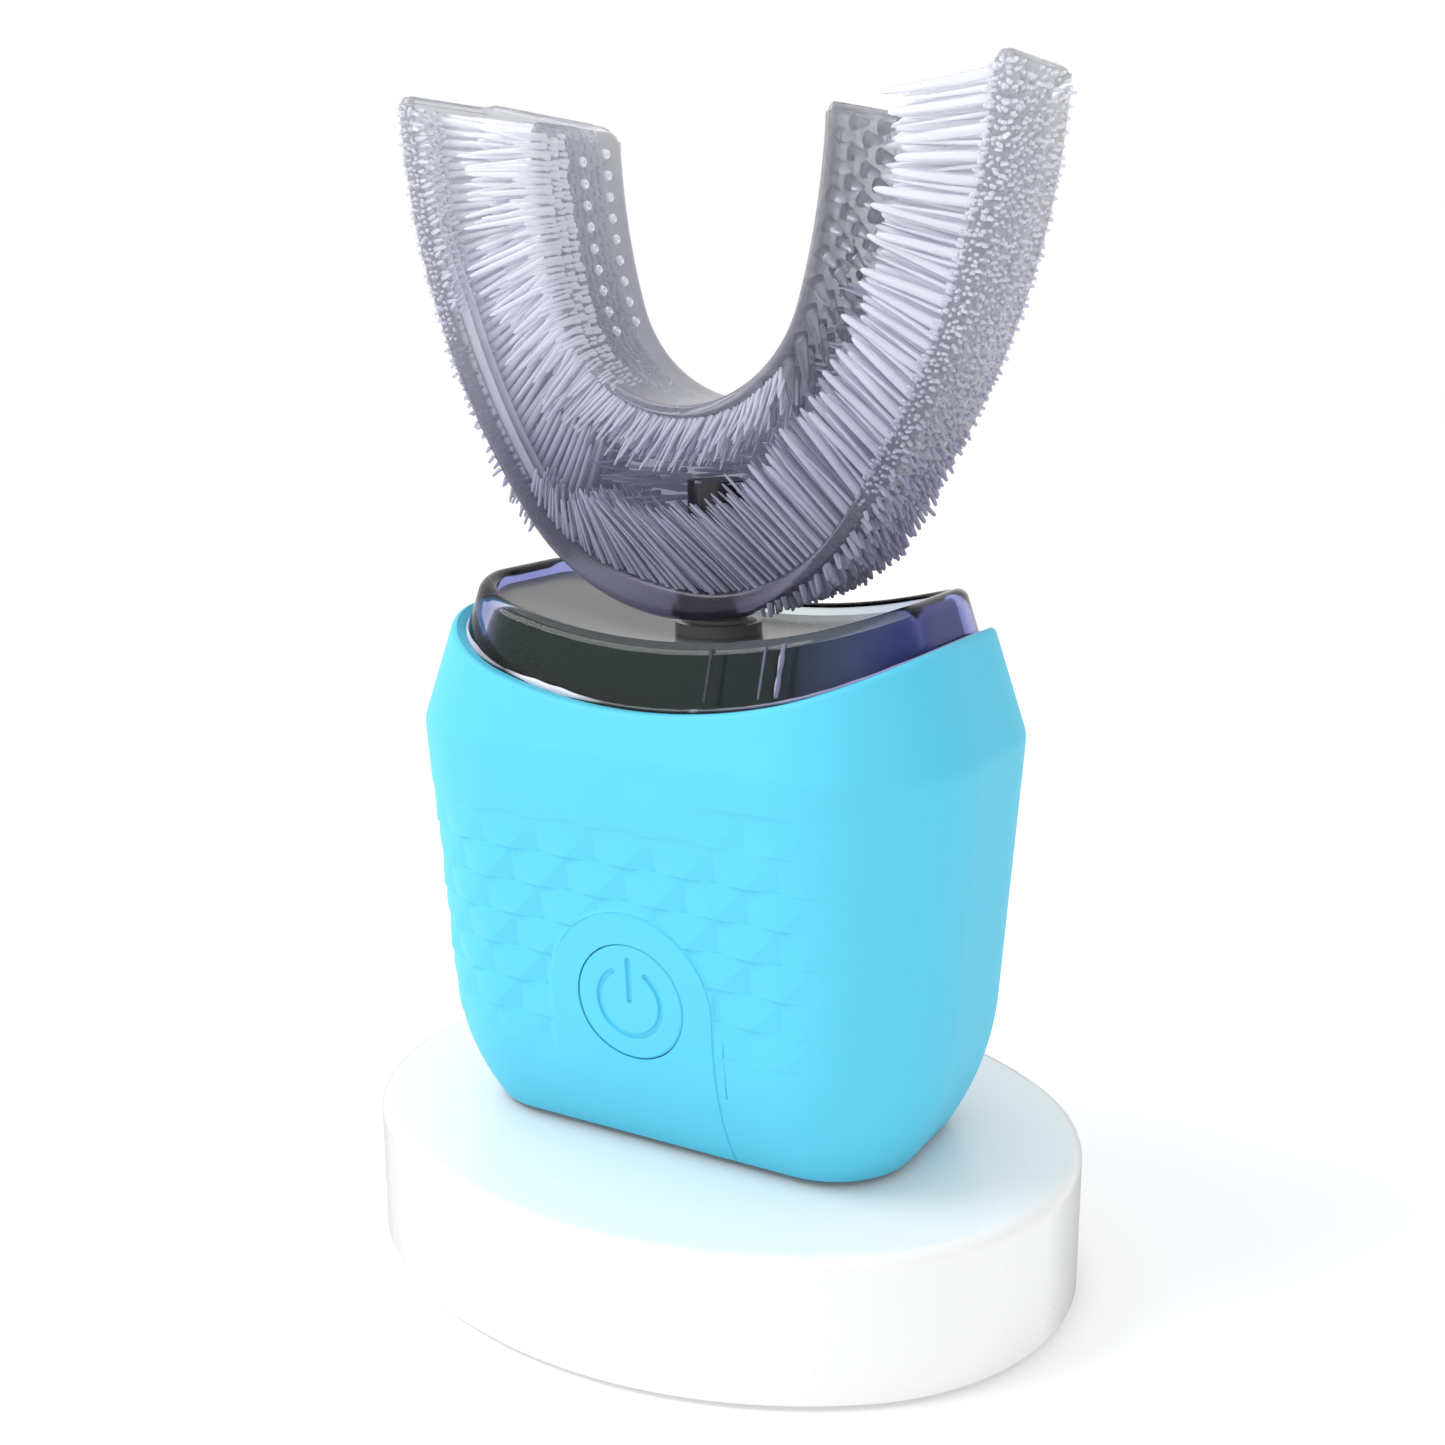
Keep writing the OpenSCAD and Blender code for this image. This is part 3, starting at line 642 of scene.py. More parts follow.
def carve_sleeve(skin):
    """Cut the button's hole, the fine groove of the arched panel and a shorter one to its right."""
    hole = tube([(0, 0, -6), (0, 0, 6)], BUTTON_R + 0.07, 128)
    hole.transform(Matrix.Rotation(math.pi / 2, 4, "X"))
    hole.transform(Matrix.Translation(Vector((0, front_y(BUTTON_Z), BUTTON_Z + HANDLE_Z)) * MM))
    path = [(PANEL_R, z) for z in np.linspace(0.2, BUTTON_Z, 60)]
    for a in np.linspace(0, math.pi, 90)[1:]:
        path.append((PANEL_R * math.cos(a), BUTTON_Z + PANEL_R * math.sin(a)))
    # Past point 128, on the left of the arch, the groove rises out of the surface
    points = []
    for k, (x, z) in enumerate(path):
        points.append((x, front_y(z) - 0.01 - 0.15 * max(k - 128, 0) / 18, z + HANDLE_Z))
    groove = tube(points, 0.13, 8)
    rib = [(PANEL_R + 1.15 - 0.02 * (BUTTON_Z - z), z) for z in np.linspace(BUTTON_Z - 0.2, 9, 40)]
    second = tube([(x, front_y(z) + 0.04, z + HANDLE_Z) for x, z in rib], 0.1, 8)
    for name, cutter in (("hole", hole), ("groove", groove), ("second_groove", second)):
        cut_away(skin, name, cutter)


# ---- Button with its engraved power symbol ----


BUTTON_EDGE, BUTTON_FLANGE = 0.3, 0.7
SYMBOL_R, SYMBOL_GAP, SYMBOL_BAR = 3.45, math.radians(32), (0.2, 4.35)
LINE_HALF, LINE_EDGE, LINE_DEPTH = 0.2, 0.12, 0.28


def engraving(x, z):
    """Depth of the power symbol at a place on the button: an open ring and an upright bar."""
    r = np.hypot(x, z)
    past_gap = np.abs(np.arctan2(x, z)) - SYMBOL_GAP
    to_end = np.hypot(r * np.cos(past_gap) - SYMBOL_R, r * np.sin(past_gap))
    ring = np.where(past_gap > 0, np.abs(r - SYMBOL_R), to_end)
    bar = np.hypot(x, z - np.clip(z, *SYMBOL_BAR))
    away = np.minimum(ring, bar)
    return LINE_DEPTH * (1 - smooth((away - LINE_HALF) / LINE_EDGE))


def button():
    """The key: a face that follows the handle's front, with a rolled edge, and a flange behind it."""
    sides = 320
    angle = circle(sides)
    flat_r = BUTTON_R - BUTTON_EDGE
    rolled = BUTTON_R - BUTTON_EDGE * (1 - np.sin(np.linspace(0, math.pi / 2, 6)))
    rings = np.concatenate([[0.02], np.arange(0.1, flat_r, 0.07), rolled])
    edge = np.clip((rings - flat_r) / BUTTON_EDGE, 0, 1)
    drop = BUTTON_EDGE * (1 - np.sqrt(1 - edge**2 + 1e-9))
    x = np.outer(np.cos(angle), rings)
    z = np.outer(np.sin(angle), rings)
    y = front_y(BUTTON_Z + z) + engraving(x, z) + drop
    layers = [np.stack([x, y, z + BUTTON_Z + HANDLE_Z], -1)]
    flange_r = BUTTON_R + BUTTON_FLANGE
    behind = [(BUTTON_R, -14.4), (flange_r, -14.4), (flange_r, -13.6)]
    behind += [(1.5, -13.6), (1.5, -13.35), (0.02, -13.35)]
    for r, at in behind:
        ring = [r * np.cos(angle), np.full(sides, at), r * np.sin(angle) + BUTTON_Z + HANDLE_Z]
        layers.append(np.stack(ring, -1)[:, None])
    grid = np.concatenate(layers, 1)
    faces = grid_faces(sides, grid.shape[1], True, True)
    piece("button_face", grid, faces, "button", "cyan_button", sharp=35, replaces=["power_button"])


# ---- Collar ----

LENS_INSET, LENS_T, LENS_Z = 1.55, 1.9, 41.7
LENS_RIM = (51.15, 66)


def collar_lens():
    """The clear ring: a wall that leans in with the crown, with a full round rim that dips in the middle."""
    places = stations(0.6)
    out_rim = rim_columns(places, LENS_INSET, *LENS_RIM)[:, None]
    in_rim = rim_columns(places, LENS_INSET + LENS_T, *LENS_RIM)[:, None]
    out_top, in_top = out_rim - 0.9, in_rim - 0.6
    outside = wall_point(places, out_top, LENS_INSET)
    inside = wall_point(places, in_top, LENS_INSET + LENS_T)
    crest = wall_point(places, (out_rim + in_rim) / 2 + 0.02, LENS_INSET + LENS_T / 2)
    corner = 0.75 * (outside - inside) / 2
    parts = [wall_point(places, LENS_Z + (out_top - LENS_Z) * np.linspace(0, 1, 12), LENS_INSET)]
    parts += [bend_between(outside, crest + corner, crest, t) for t in np.linspace(0, 1, 9)[1:]]
    parts += [bend_between(crest, crest - corner, inside, t) for t in np.linspace(0, 1, 7)[1:]]
    down = LENS_Z + (in_top - LENS_Z) * np.linspace(1, 0, 12)[1:]
    parts.append(wall_point(places, down, LENS_INSET + LENS_T))
    grid = np.concatenate(parts, 1)
    faces = grid_faces(*grid.shape[:2], True, True)
    piece("clear_collar", grid, faces, "handle", "smoky_lens", sharp=50, replaces=["collar_lens"])


# Ribs inside the clear wall: x, lower end, upper end and half width
RIBS = ((7.3, 46.6, 51.2, 0.2), (12.7, 47.4, 51.9, 0.16), (14.4, 47.7, 52.3, 0.3))
RIB_SECTION = [(-1, 0.14), (-0.6, -0.02), (0.6, -0.02), (1, 0.14), (0.6, 0.3), (-0.6, 0.3)]
RIB_STEPS = 8


def collar_glints():
    """The bright bead along the clear plastic above the sleeve, a painted highlight, and the moulded ribs
    inside the clear wall, coloured with painted highlights.
    """
    places = stations(0.6)
    rim = rim_columns(places, SLEEVE_T, *SLEEVE_RIM)
    angle = circle(8)
    x = places[:, 0] + places[:, 2] * side_radius(rim)
    fat = 0.12 + 0.14 * np.exp(-(((x + 9.5) / 3.4) ** 4)) + 0.12 * np.exp(-(((x + 20.5) / 2.5) ** 4))
    fat = (fat * (1 + 0.12 * np.sin(2.1 * x)))[:, None]
    z = rim[:, None] + 0.12 + 1.3 * fat * np.sin(angle)
    grid = wall_point(places, z, np.broadcast_to(LENS_INSET + 0.05 - 0.16 * np.cos(angle), z.shape))
    verts, faces = [grid.reshape(-1, 3)], grid_faces(*grid.shape[:2], True, True)
    start, corners = len(verts[0]), len(RIB_SECTION)
    for x, low, high, half in RIBS:
        rib = []
        for h in np.linspace(low, high, RIB_STEPS):
            wall_y = CORE_Y + float(side_radius(h)) - LENS_INSET
            wave = 1 + 0.2 * math.sin(3 * h)
            rib += [(x + half * dx * wave, -(wall_y - dy), h + HANDLE_Z) for dx, dy in RIB_SECTION]
        verts.append(np.array(rib))
        faces += grid_faces(RIB_STEPS, corners, False, True, start=start)
        faces += [end[::-1] for end in end_faces(start, start + len(rib) - corners, corners)]
        start += len(rib)
    piece("collar_glints", np.concatenate(verts), faces, "handle", "smoky_lens", GLINT, sharp=50)


def stem_boot():
    """The soft seal: two rounded folds between the stem and the boss."""
    low, high = (corner.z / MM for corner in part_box("stem_seal"))
    profile = [(1.62, low), (2.98, low), (2.98, high - 0.62), (4.2, high - 0.58), (4.24, high - 0.46)]
    profile += [(3.9, high - 0.36), (3.1, high - 0.3), (2.9, high - 0.1), (2.6, high)]
    profile += [(2.3, high - 0.12), (2.1, high - 0.35), (1.9, high - 0.2), (1.75, high - 0.02)]
    profile += [(1.62, high - 0.12)]
    verts, faces = lathe(profile)
    piece("stem_boot", verts, faces, "handle", "seal_grey", sharp=40, replaces=["stem_seal"])


# ---- Mouthpiece ----

CHEEK = dict(half=31.8, low=0.0, tri=(39.2, 29.4, 49.0), top=48.4)
TONGUE = dict(half=14.9, low=20.15, tri=(50.4, 14.7, 52.5), top=45.0)
CHEEK_WALL, TONGUE_WALL, TONGUE_RIM = 2.0, 1.8, 1.0
WALLS = CHEEK_WALL + TONGUE_WALL
CORE_INSIDE_R = 2.9
FRONT_Y, WEB_Y, BACK_Y = -7.5, 4.5, 7.5


def arch_line(half, low, tri, top):
    """(x, z) points of a U-shaped outline at equal distances, from the left tip round to the right tip."""
    radius = half - tri[2] + tri[0]
    centre_z = low + radius
    level = centre_z + tri[1]
    side_r = half + tri[0]
    join = -math.atan2(tri[1], tri[0])
    bottom = np.linspace(-math.pi / 2, join, 200)
    side = np.linspace(join, math.asin((top - level) / side_r), 200)[1:]
    x = np.concatenate([radius * np.cos(bottom), side_r * np.cos(side) - tri[0]])
    z = np.concatenate([centre_z + radius * np.sin(bottom), level + side_r * np.sin(side)])
    line = np.stack([np.concatenate([-x[::-1], x[1:]]), np.concatenate([z[::-1], z[1:]])], -1)
    run = np.concatenate([[0], np.cumsum(np.linalg.norm(np.diff(line, axis=0), axis=1))])
    return line, run / run[-1] * 2 - 1, run[-1]


CHEEK_LINE, CHEEK_S, CHEEK_RUN = arch_line(**CHEEK)
TONGUE_LINE, TONGUE_S, TONGUE_RUN = arch_line(**TONGUE)


def on_line(line, places, s):
    """The point of an outline at -1 (left tip) to 1 (right tip)."""
    return np.stack([np.interp(s, places, line[:, k]) for k in (0, 1)], -1)


def across(s):
    """At -1 (left) to 1 (right): point on the cheek side, unit vector to the tongue side, and distance."""
    outer, inner = on_line(CHEEK_LINE, CHEEK_S, s), on_line(TONGUE_LINE, TONGUE_S, s)
    width = np.linalg.norm(inner - outer, axis=-1)
    return outer, (inner - outer) / width[..., None], width


def tray_point(s, n, y):
    """A place n millimetres in from the cheek side at depth y."""
    outer, way, _ = across(s)
    flat = outer + way * np.asarray(n)[..., None]
    return np.stack([flat[..., 0], np.broadcast_to(y, flat[..., 0].shape), flat[..., 1] + TRAY_Z], -1)


def low_swell(s):
    """The cheek wall is thicker at the very bottom of the U."""
    return 1.3 * np.exp(-(((s + 0.08) / 0.17) ** 2))


def tray():
    """The trough itself: cheek wall, web at the back and tongue wall, with rounded rims."""
    # Past each tip the section rises a little and shrinks, which rounds the tip
    tip = [(0.75, 0.62), (0.45, 0.3), (0.0, 0.12)]
    stops = [(-1, rise, trim) for rise, trim in tip]
    stops += [(s, 0.0, 0.0) for s in np.linspace(-1, 1, 181)]
    stops += [(1, rise, trim) for rise, trim in tip[::-1]]
    sections = []
    for s, rise, trim in stops:
        w = float(across(np.array(s))[2])
        cheek = CHEEK_WALL + low_swell(s)
        corners = [
            (trim, FRONT_Y + trim),
            (cheek - trim, FRONT_Y + trim),
            (cheek - trim, WEB_Y + trim),
            (w - TONGUE_WALL + trim, WEB_Y + trim),
            (w - TONGUE_RIM + trim * 0.8, FRONT_Y + trim),
            (w - trim, FRONT_Y + trim),
            (w - trim, BACK_Y - trim),
            (trim, BACK_Y - trim),
        ]
        loop = rounded_loop(corners, [0.95, 0.95, 1.3, 1.3, 0.45, 0.45, 1.6, 1.6])
        points = tray_point(np.full(len(loop), s), loop[:, 0], loop[:, 1])
        from_tip = (1 - abs(s)) * CHEEK_RUN / 2
        arch = np.sin(math.pi * np.clip((loop[:, 0] - 1) / (w - 2), 0, 1))
        points[:, 2] += 1.7 * arch * math.exp(-((from_tip / 3.5) ** 2)) + rise
        sections.append(points)
    grid = np.array(sections)
    cols, rows = grid.shape[:2]
    faces = grid_faces(cols, rows, False, True) + end_faces(0, (cols - 1) * rows, rows)
    skin = piece(
        "tray_skin", grid, faces, "mouthpiece", "tray_silicone", sharp=50, replaces=["mouthpiece_tray"]
    )
    # The core fills this hole, and the stem's socket in it is open from below
    cut_away(skin, "socket_cut", tube([(0, 0, TRAY_Z - 5), (0, 0, CORE_TOP)], CORE_INSIDE_R, 96))


def on_tray(name, verts, faces, finish=BRISTLE):
    """A piece that stands on the tray and has no solid of its own."""
    piece(name, verts, faces, "mouthpiece", "tray_silicone", finish, sharp=60)


def places_on(s0, s1, pitch, ys, run=CHEEK_RUN, wander=0.12):
    """A staggered field of places: s, y and the number of the row that each is in."""
    step = pitch / (run / 2)
    s, y, row = [], [], []
    for k, at in enumerate(np.arange(s0, s1, step)):
        for m, depth in enumerate(ys):
            s.append(at + (0.5 * step if m % 2 else 0))
            y.append(depth)
            row.append(k)
    s = np.array(s) + jitter(s, wander * pitch / (run / 2))
    y = np.array(y) + jitter(y, wander)
    keep = (s > -0.995) & (s < 0.995)
    return s[keep], y[keep], np.array(row)[keep]


def comb_left(ways, s, strength):
    """Round the bottom of the U the bristles are combed towards the left arm."""
    comb = strength * np.exp(-(((s - 0.1) / 0.36) ** 2))[:, None]
    return ways * (1 - comb) + np.array([[-0.82, -0.1, 0.52]]) * comb


def merged(fields):
    """Several bristle fields as one mesh."""
    verts, faces = [], []
    for field_verts, field_faces in fields:
        start = sum(len(v) for v in verts)
        verts.append(field_verts)
        faces += [[k + start for k in face] for face in field_faces]
    return np.concatenate(verts), faces


def through_tongue_wall(points):
    """How far points lie past the middle of the tongue wall, towards the gap for the tongue."""
    s = np.linspace(-1, 1, 401)
    _, way, width = across(s)
    line = tray_point(s, width - 0.5 * TONGUE_RIM, np.zeros(len(s)))[:, [0, 2]]
    away = points[:, None, [0, 2]] - line[None]
    nearest = np.hypot(away[..., 0], away[..., 1]).argmin(axis=1)
    return (away[np.arange(len(points)), nearest] * way[nearest]).sum(axis=1)


def clear_of_core(roots, ways, lengths, r_root, r_tip, bend):
    """Start the bristles that would run through the core at its far side, so that its socket stays open."""
    ways = ways / np.linalg.norm(ways, axis=1, keepdims=True)
    a = (ways[:, :2] ** 2).sum(axis=1)
    b = (roots[:, :2] * ways[:, :2]).sum(axis=1)
    c = (roots[:, :2] ** 2).sum(axis=1) - CORE_INSIDE_R**2
    reach = np.sqrt(np.maximum(b * b - a * c, 0))
    enter, leave = (-b - reach) / a, (-b + reach) / a
    middle = (np.maximum(enter, 0) + np.minimum(leave, lengths)) / 2
    inside = (reach > 0) & (leave > 0) & (enter < lengths) & (roots[:, 2] + middle * ways[:, 2] < CORE_TOP)
    beyond = inside & (leave < lengths - 0.5)
    short = inside & ~beyond & (enter > 0.5)
    keep = ~inside | beyond | short
    start = np.where(beyond, leave, 0.0)
    r_root = r_root + (r_tip - r_root) * start / lengths
    roots = roots + ways * start[:, None]
    lengths = np.where(short, enter, lengths - start)
    return [values[keep] for values in (roots, ways, lengths, r_root, r_tip, bend)]


def long_bristles():
    """Thick clumps with thin bristles between, from the cheek wall across the right arm and the bottom."""
    fields = [places_on(-0.34, 0.3, 0.84, np.arange(-6.8, 4.2, 1.0), wander=0.25)]
    fields.append(places_on(0.3, 1.0, 1.08, np.arange(-6.8, 4.2, 1.1), wander=0.2))
    s, y, row = (np.concatenate(values) for values in zip(*fields))
    _, way, width = across(s)
    roots = tray_point(s, CHEEK_WALL - 0.3 + low_swell(s), y)
    ways = np.stack([way[:, 0], jitter(s, 0.05) - 0.03, way[:, 1] + jitter(s, 0.09)], -1)
    ways = comb_left(ways, s, 0.8)
    thick = row % 2 == 0
    arm = smooth((s - 0.12) / 0.3)
    front = smooth((1.0 - y) / 7) * arm
    span = (0.7 + 0.22 * arm - 0.2 * front) * np.where(thick, 1.0, 0.88)
    span = span * RANDOM.uniform(0.86, 1.06, len(s))
    lengths = (width - CHEEK_WALL - TONGUE_WALL) * span * (0.3 + 0.7 * smooth((s + 0.34) / 0.36))
    r_root = np.where(thick, 0.23 + 0.27 * arm, 0.18 + 0.09 * arm) + jitter(s, 0.06)
    r_tip = np.where(thick, 0.14 + 0.2 * arm, 0.1) + jitter(s, 0.04)
    bend = np.stack([np.zeros(len(s)), full(s, -0.02), jitter(s, 0.05)], -1)
    on_tray("bristles_long", *bristles(*clear_of_core(roots, ways, lengths, r_root, r_tip, bend)))


def web_bristles():
    """The floor of the channel: a dense field that stands forward from the web, combed to the left."""
    s, share = [], []
    for at in np.arange(-0.93, 0.8, 1.15 / (CHEEK_RUN / 2)):
        for k in range(8):
            s.append(at + (k % 2) * 0.65 / (CHEEK_RUN / 2))
            share.append((k + 0.5) / 8)
    s = np.array(s) + jitter(s, 0.004)
    _, way, width = across(s)
    room = width - CHEEK_WALL - TONGUE_WALL - low_swell(s)
    n = CHEEK_WALL + low_swell(s) + room * (np.array(share) + jitter(s, 0.03))
    roots = tray_point(s, n, full(s, WEB_Y + 0.2))
    # No bristles start behind the top of the core
    bare = np.hypot(roots[:, 0] + 1.2, (roots[:, 2] - TRAY_Z - 9.5) * 0.8) < 2.6
    ways = np.stack([jitter(s, 0.1), full(s, -1.0), 0.12 + jitter(s, 0.2)], -1)
    ways[:, 0] -= np.where(np.abs(s) < 0.55, 0.45, 0.12)
    lengths = RANDOM.uniform(6.0, 9.6, len(s)) * np.where(np.abs(s) > 0.62, 0.55, 1.0)
    # Tips that the combing would carry through a wall end inside it
    for _ in range(3):
        reach = lengths / np.linalg.norm(ways, axis=1)
        tips = roots + ways * reach[:, None]
        excess = through_tongue_wall(tips)
        ways[:, 0] += np.where(excess > 0, excess / reach * -way[:, 0], 0)
        ways[:, 2] += np.where(excess > 0, excess / reach * -way[:, 1], 0)
    roots, ways, lengths = roots[~bare], ways[~bare], lengths[~bare]
    r_root, r_tip = 0.28 + jitter(roots, 0.06), 0.13 + jitter(roots, 0.04)
    straight = np.zeros_like(roots)
    on_tray("bristles_web", *bristles(*clear_of_core(roots, ways, lengths, r_root, r_tip, straight)))


def tongue_bristles():
    """From the tongue wall into the channel: the left arm and the bottom."""
    s, y, _ = places_on(-1.0, 0.36, 0.86, np.arange(-6.9, 4.0, 1.05), wander=0.3)
    _, way, width = across(s)
    roots = tray_point(s, width - TONGUE_WALL + 0.5, y)
    arm = smooth((-0.25 - s) / 0.2)
    loose = 0.22 - 0.1 * arm
    sideways = -way[:, 0] + loose * jitter(s, 1)
    back = jitter(s, 0.15) - 0.5 + 0.4 * arm
    ways = np.stack([sideways, back, -way[:, 1] + loose * jitter(s, 1)], -1)
    ways[:, 0] -= 0.45 * (1 - arm)
    lengths = (width - WALLS) * (0.28 + 0.28 * arm) * RANDOM.uniform(0.5, 1.3, len(s))
    r_root = 0.23 + 0.14 * arm + jitter(s, 0.05)
    field = bristles(roots, ways, lengths, r_root, r_root * 0.55)
    # On the left arm's tongue face they lie forward over the rim
    s, y, _ = places_on(-0.99, -0.2, 1.0, np.array([-3.4, -4.9, -6.4]), wander=0.3)
    _, way, width = across(s)
    roots = tray_point(s, width + 0.02, y)
    ways = np.stack([-0.1 * way[:, 0], full(s, -1.0), -0.1 * way[:, 1] + jitter(s, 0.06)], -1)
    fade = 0.35 + 0.65 * smooth((-0.2 - s) / 0.3)
    lengths = RANDOM.uniform(2.4, 4.4, len(s)) * fade
    r_root = (0.3 + jitter(s, 0.07)) * (0.5 + 0.5 * fade)
    bend = -0.3 * np.stack([way[:, 0], 0 * s, way[:, 1]], -1)
    over = bristles(roots, ways, lengths, r_root, full(s, 0.14), bend)
    on_tray("bristles_tongue", *merged([field, over]))


def left_bristles():
    """The left arm's cheek side: bristles that meet the tongue side's in the middle of the channel."""
    s, y, _ = places_on(-1.0, -0.28, 1.1, np.arange(-3.2, 4.3, 1.05))
    _, way, width = across(s)
    roots = tray_point(s, full(s, CHEEK_WALL - 0.3), y)
    ways = np.stack([way[:, 0], jitter(s, 0.05) - 0.1, way[:, 1] + jitter(s, 0.05)], -1)
    lengths = (width - WALLS) * RANDOM.uniform(0.5, 0.72, len(s))
    r_root = 0.4 + jitter(s, 0.07)
    on_tray("bristles_left", *bristles(roots, ways, lengths, r_root, r_root * 0.6))


def nubs(roots, ways, shortest, longest, r_root, r_tip):
    """Short fine bristles of uneven length and thickness."""
    lengths = RANDOM.uniform(shortest, longest, len(roots))
    r_root = r_root + jitter(roots, 0.05)
    return bristles(roots, ways, lengths, r_root, r_tip + jitter(roots, 0.03), sides=5)


# Lines of fine bristles along the front rims: distance in from the outside, first and last place
RIM_LINES = [(0.45, -1, -0.5), (1.0, -1, -0.62), (1.5, -1, -0.62)]
RIM_LINES += [(0.4, 0.4, 1), (0.9, 0.37, 1), (1.4, 0.37, 1), (1.85, 0.4, 1)]


def fine_bristles():
    """Short fine bristles on the left cheek wall's channel side and on the front rims."""
    s, y, _ = places_on(-1.0, -0.66, 0.8, np.arange(-7.0, -2.2, 0.7), wander=0.25)
    way = across(s)[1]
    roots = tray_point(s, full(s, CHEEK_WALL - 0.2), y)
    ways = np.stack([way[:, 0], jitter(s, 0.35) - 0.2, way[:, 1] + jitter(s, 0.3)], -1)
    fields = [nubs(roots, ways, 0.8, 1.4, 0.24, 0.13)]
    for n, s0, s1 in RIM_LINES:
        s = np.arange(s0, s1, 0.62 / (CHEEK_RUN / 2))
        s = np.clip(s + jitter(s, 0.004), -0.995, 0.995)
        way = across(s)[1]
        roots = tray_point(s, n + jitter(s, 0.15), full(s, FRONT_Y + 0.25))
        side = jitter(s, 0.3) + (0.5 if n > 1.2 else 0)
        ways = np.stack([way[:, 0] * side, full(s, -1.0), way[:, 1] * side + jitter(s, 0.3)], -1)
        fields.append(nubs(roots, ways, 0.4, 0.85, 0.22, 0.14))
    on_tray("bristles_fine", *merged(fields))


def outer_bristles():
    """Dense short bristles on the outside of the U, longer round its lower corners."""
    s, y, _ = places_on(-1.0, 1.0, 0.96, np.arange(-7.1, 7.2, 0.9), wander=0.35)
    keep = (s > 0.13) | (s < -0.31)
    s, y = s[keep], y[keep]
    way = across(s)[1]
    roots = tray_point(s, full(s, 0.2), y)
    ways = np.stack([-way[:, 0], jitter(s, 0.4), -way[:, 1] + jitter(s, 0.35)], -1)
    right = np.exp(-(((s - 0.27) / 0.13) ** 2))
    left = np.exp(-(((s + 0.36) / 0.06) ** 2))
    lengths = 0.55 + 1.6 * right * RANDOM.uniform(0.5, 1.0, len(s))
    lengths += 1.5 * left * RANDOM.uniform(0.4, 1.0, len(s))
    lengths += jitter(s, 0.18)
    thick = 0.22 + 0.1 * right - 0.03 * left
    on_tray("bristles_outer", *bristles(roots, ways, lengths, thick + jitter(s, 0.04), thick * 0.65, sides=5))


def cones():
    """Three staggered columns of short cones on the right tongue wall, longer and turned down lower."""
    s, y, _ = places_on(0.3, 0.99, 2.3, np.array([-6.4, -3.9, -1.4, 1.1]), run=TONGUE_RUN, wander=0.04)
    _, way, width = across(s)
    deep = (y - FRONT_Y) / (WEB_Y - FRONT_Y)
    roots = tray_point(s, width - TONGUE_RIM - (TONGUE_WALL - TONGUE_RIM) * deep + 0.25, y)
    low = smooth((0.72 - s) / 0.35)
    ways = np.stack([-way[:, 0] * (1 - 0.3 * low), full(s, -0.2), -way[:, 1] - 0.25 - 0.9 * low], -1)
    lengths = 1.9 + 2.6 * low
    verts, faces = bristles(roots, ways, lengths, full(s, 0.8), full(s, 0.25), sides=10)
    on_tray("cone_bumps", verts, faces, FINISHES["tray_silicone"])


def ring_dots():
    """Two staggered columns of small ring bumps on the tongue side of each arm."""
    verts, faces = [], []
    ring = [(0.16, -0.3), (0.16, 0.1), (0.26, 0.3), (0.42, 0.3), (0.5, 0.1), (0.52, -0.3)]
    base, quads = lathe(ring, 12)
    for side in (-1, 1):
        s, y, _ = places_on(0.42, 0.98, 2.05, np.array([-0.6, 3.6]), run=TONGUE_RUN, wander=0.02)
        for at, depth in zip(s, y):
            _, way, width = across(np.array(side * at))
            centre = tray_point(np.array([side * at]), np.array([float(width)]), depth)[0]
            normal = np.array([way[0], 0, way[1]])
            tangent = np.cross([0.0, 1.0, 0.0], normal)
            spot = centre + base[:, :1] * tangent + base[:, 1:2] * [0, 1.0, 0] + base[:, 2:] * normal
            faces += [[k + len(verts) for k in q] for q in quads]
            verts += spot.tolist()
    on_tray("ring_dots", np.array(verts), faces)


def ridges():
    """Three thin ridges along the left cheek wall's channel side."""
    verts, faces = [], []
    s = np.linspace(-0.86, -0.3, 60)
    for y, s_shift in ((-5.6, 0.0), (-4.2, 0.03), (-2.7, 0.06)):
        at = s + s_shift
        fade = smooth((at + 0.86) / 0.2) * smooth((-0.22 - at) / 0.12)
        section = [(-0.34, -0.25), (-0.26, 0.45), (0, 0.85), (0.26, 0.45), (0.34, -0.25)]
        rows = []
        for dy, high in section:
            n = CHEEK_WALL + np.where(high > 0, high * fade, high)
            rows.append(tray_point(at, n, y + dy))
        grid = np.stack(rows, 1)
        first, wide = len(verts), len(section)
        last = first + (len(s) - 1) * wide
        faces += grid_faces(*grid.shape[:2], False, True, start=first)
        faces += end_faces(first, last, wide)
        verts += grid.reshape(-1, 3).tolist()
    on_tray("wall_ridges", np.array(verts), faces)


# ---- Stage: lengths from here on are in metres ----

FLOOR_HALF, FLOOR_Z = 1.5, -0.00002
AIM = (0, 0, 0.06)
CAMERA_AT, CAMERA_LENS = (0.084654, -0.146316, 0.095839), 43.306
CAMERA_TURN, CAMERA_DOWN, CAMERA_ROLL = 29.94, 13.331, -0.21


def stage():
    """The white floor."""
    corners = [(-1, -1), (1, -1), (1, 1), (-1, 1)]
    mesh = bpy.data.meshes.new("floor")
    mesh.from_pydata([(x * FLOOR_HALF, y * FLOOR_HALF, FLOOR_Z) for x, y in corners], [], [(0, 1, 2, 3)])
    floor_finish = material("floor", (0.96, 0.96, 0.96), 0.7, 4.0, 0.0, 0.004, Emission_Strength=0.115)
    shader(floor_finish).inputs["Emission Color"].default_value = (1, 1, 1, 1)
    mesh.materials.append(floor_finish)
    floor = bpy.data.objects.new("floor", mesh)
    bpy.context.scene.collection.objects.link(floor)


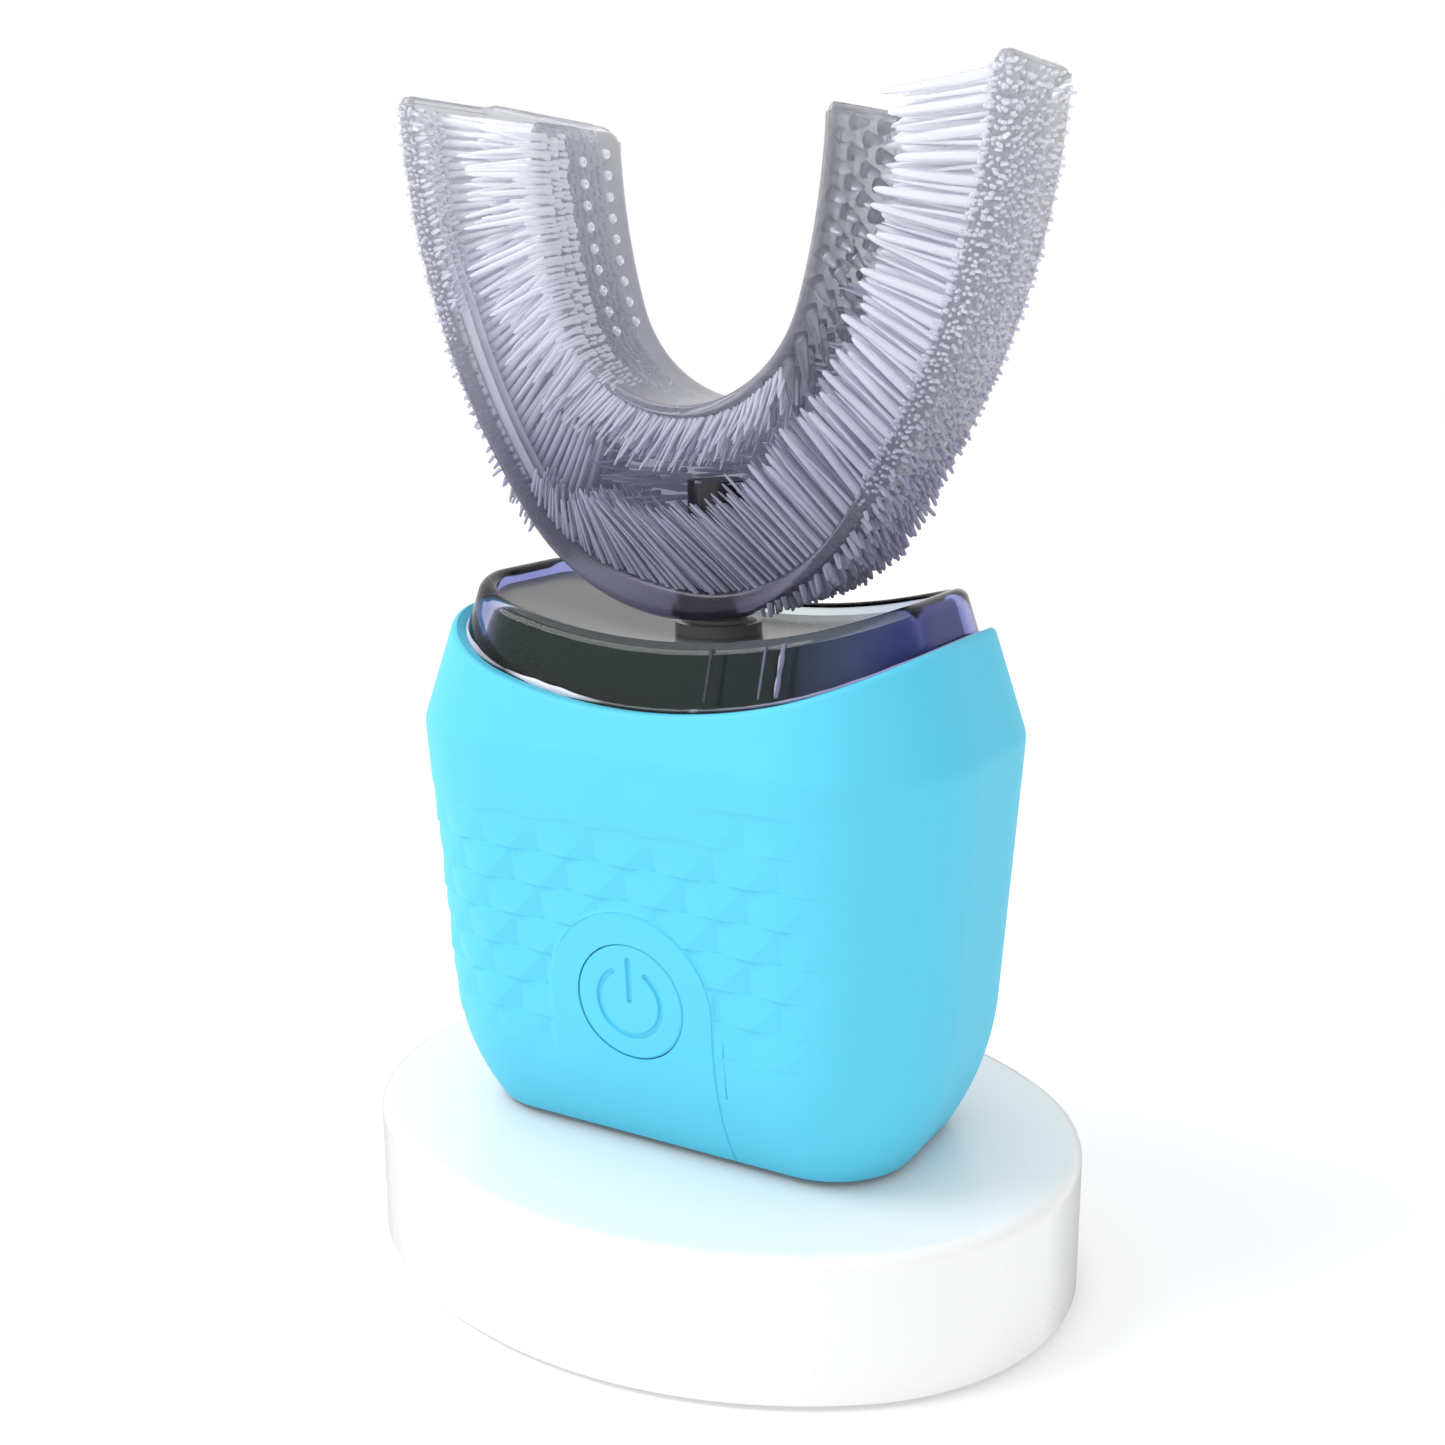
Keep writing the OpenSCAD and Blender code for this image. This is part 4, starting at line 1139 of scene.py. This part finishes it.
def studio():
    """White all round, dimmer on the right, but plain white where the camera itself sees it."""
    world = bpy.data.worlds.new("studio")
    world.use_nodes = True
    tree = world.node_tree
    background = tree.nodes["Background"]
    background.inputs[0].default_value = (1, 1, 1, 1)
    coords = add_node(tree, "TexCoord")["Generated"]
    side = add_node(tree, "VectorMath", coords, (0.93, 0.36, 0), operation="DOT_PRODUCT")["Value"]
    dim = add_node(tree, "MapRange", side, 0.1, 0.9, 1.0, 0.68)[0]
    seen = add_node(tree, "LightPath")["Is Camera Ray"]
    level = add_node(tree, "Math", dim, seen, operation="MAXIMUM")[0]
    tree.links.new(level, background.inputs[1])
    bpy.context.scene.world = world
    lamp("key", (-0.3, -0.25, 0.5), 0.3, 1.4)


def lamp(name, place, size, power):
    """A round lamp that faces the part."""
    light = bpy.data.lights.new(name, "AREA")
    light.shape, light.size, light.energy = "DISK", size, power
    obj = bpy.data.objects.new(name, light)
    obj.location = place
    obj.rotation_euler = (Vector(AIM) - Vector(place)).to_track_quat("-Z", "Y").to_euler()
    bpy.context.scene.collection.objects.link(obj)


def camera():
    """The photograph's view: from the front and 30 degrees to the right, looking a little down."""
    turn, down, roll = (math.radians(degrees) for degrees in (CAMERA_TURN, CAMERA_DOWN, CAMERA_ROLL))
    ahead = Vector((-math.sin(turn) * math.cos(down), math.cos(turn) * math.cos(down), -math.sin(down)))
    right = Vector((math.cos(turn), math.sin(turn), 0))
    up = right.cross(ahead)
    right, up = right * math.cos(roll) + up * math.sin(roll), up * math.cos(roll) - right * math.sin(roll)
    data = bpy.data.cameras.new("camera")
    data.sensor_width, data.lens = 36, CAMERA_LENS
    data.clip_start, data.clip_end = 0.005, 10
    obj = bpy.data.objects.new("camera", data)
    axes = Matrix((right, up, -ahead)).transposed().to_4x4()
    obj.matrix_world = Matrix.Translation(CAMERA_AT) @ axes
    bpy.context.scene.collection.objects.link(obj)
    bpy.context.scene.camera = obj


charger_edge_shade_and_glow()
lens_colours()
insert_colours()
dress_cad_nodes()
sleeve()
button()
collar_lens()
collar_glints()
stem_boot()
tray()
long_bristles()
web_bristles()
tongue_bristles()
left_bristles()
fine_bristles()
outer_bristles()
cones()
ring_dots()
ridges()
stage()
studio()
camera()
bpy.context.scene.view_settings.view_transform = "Standard"
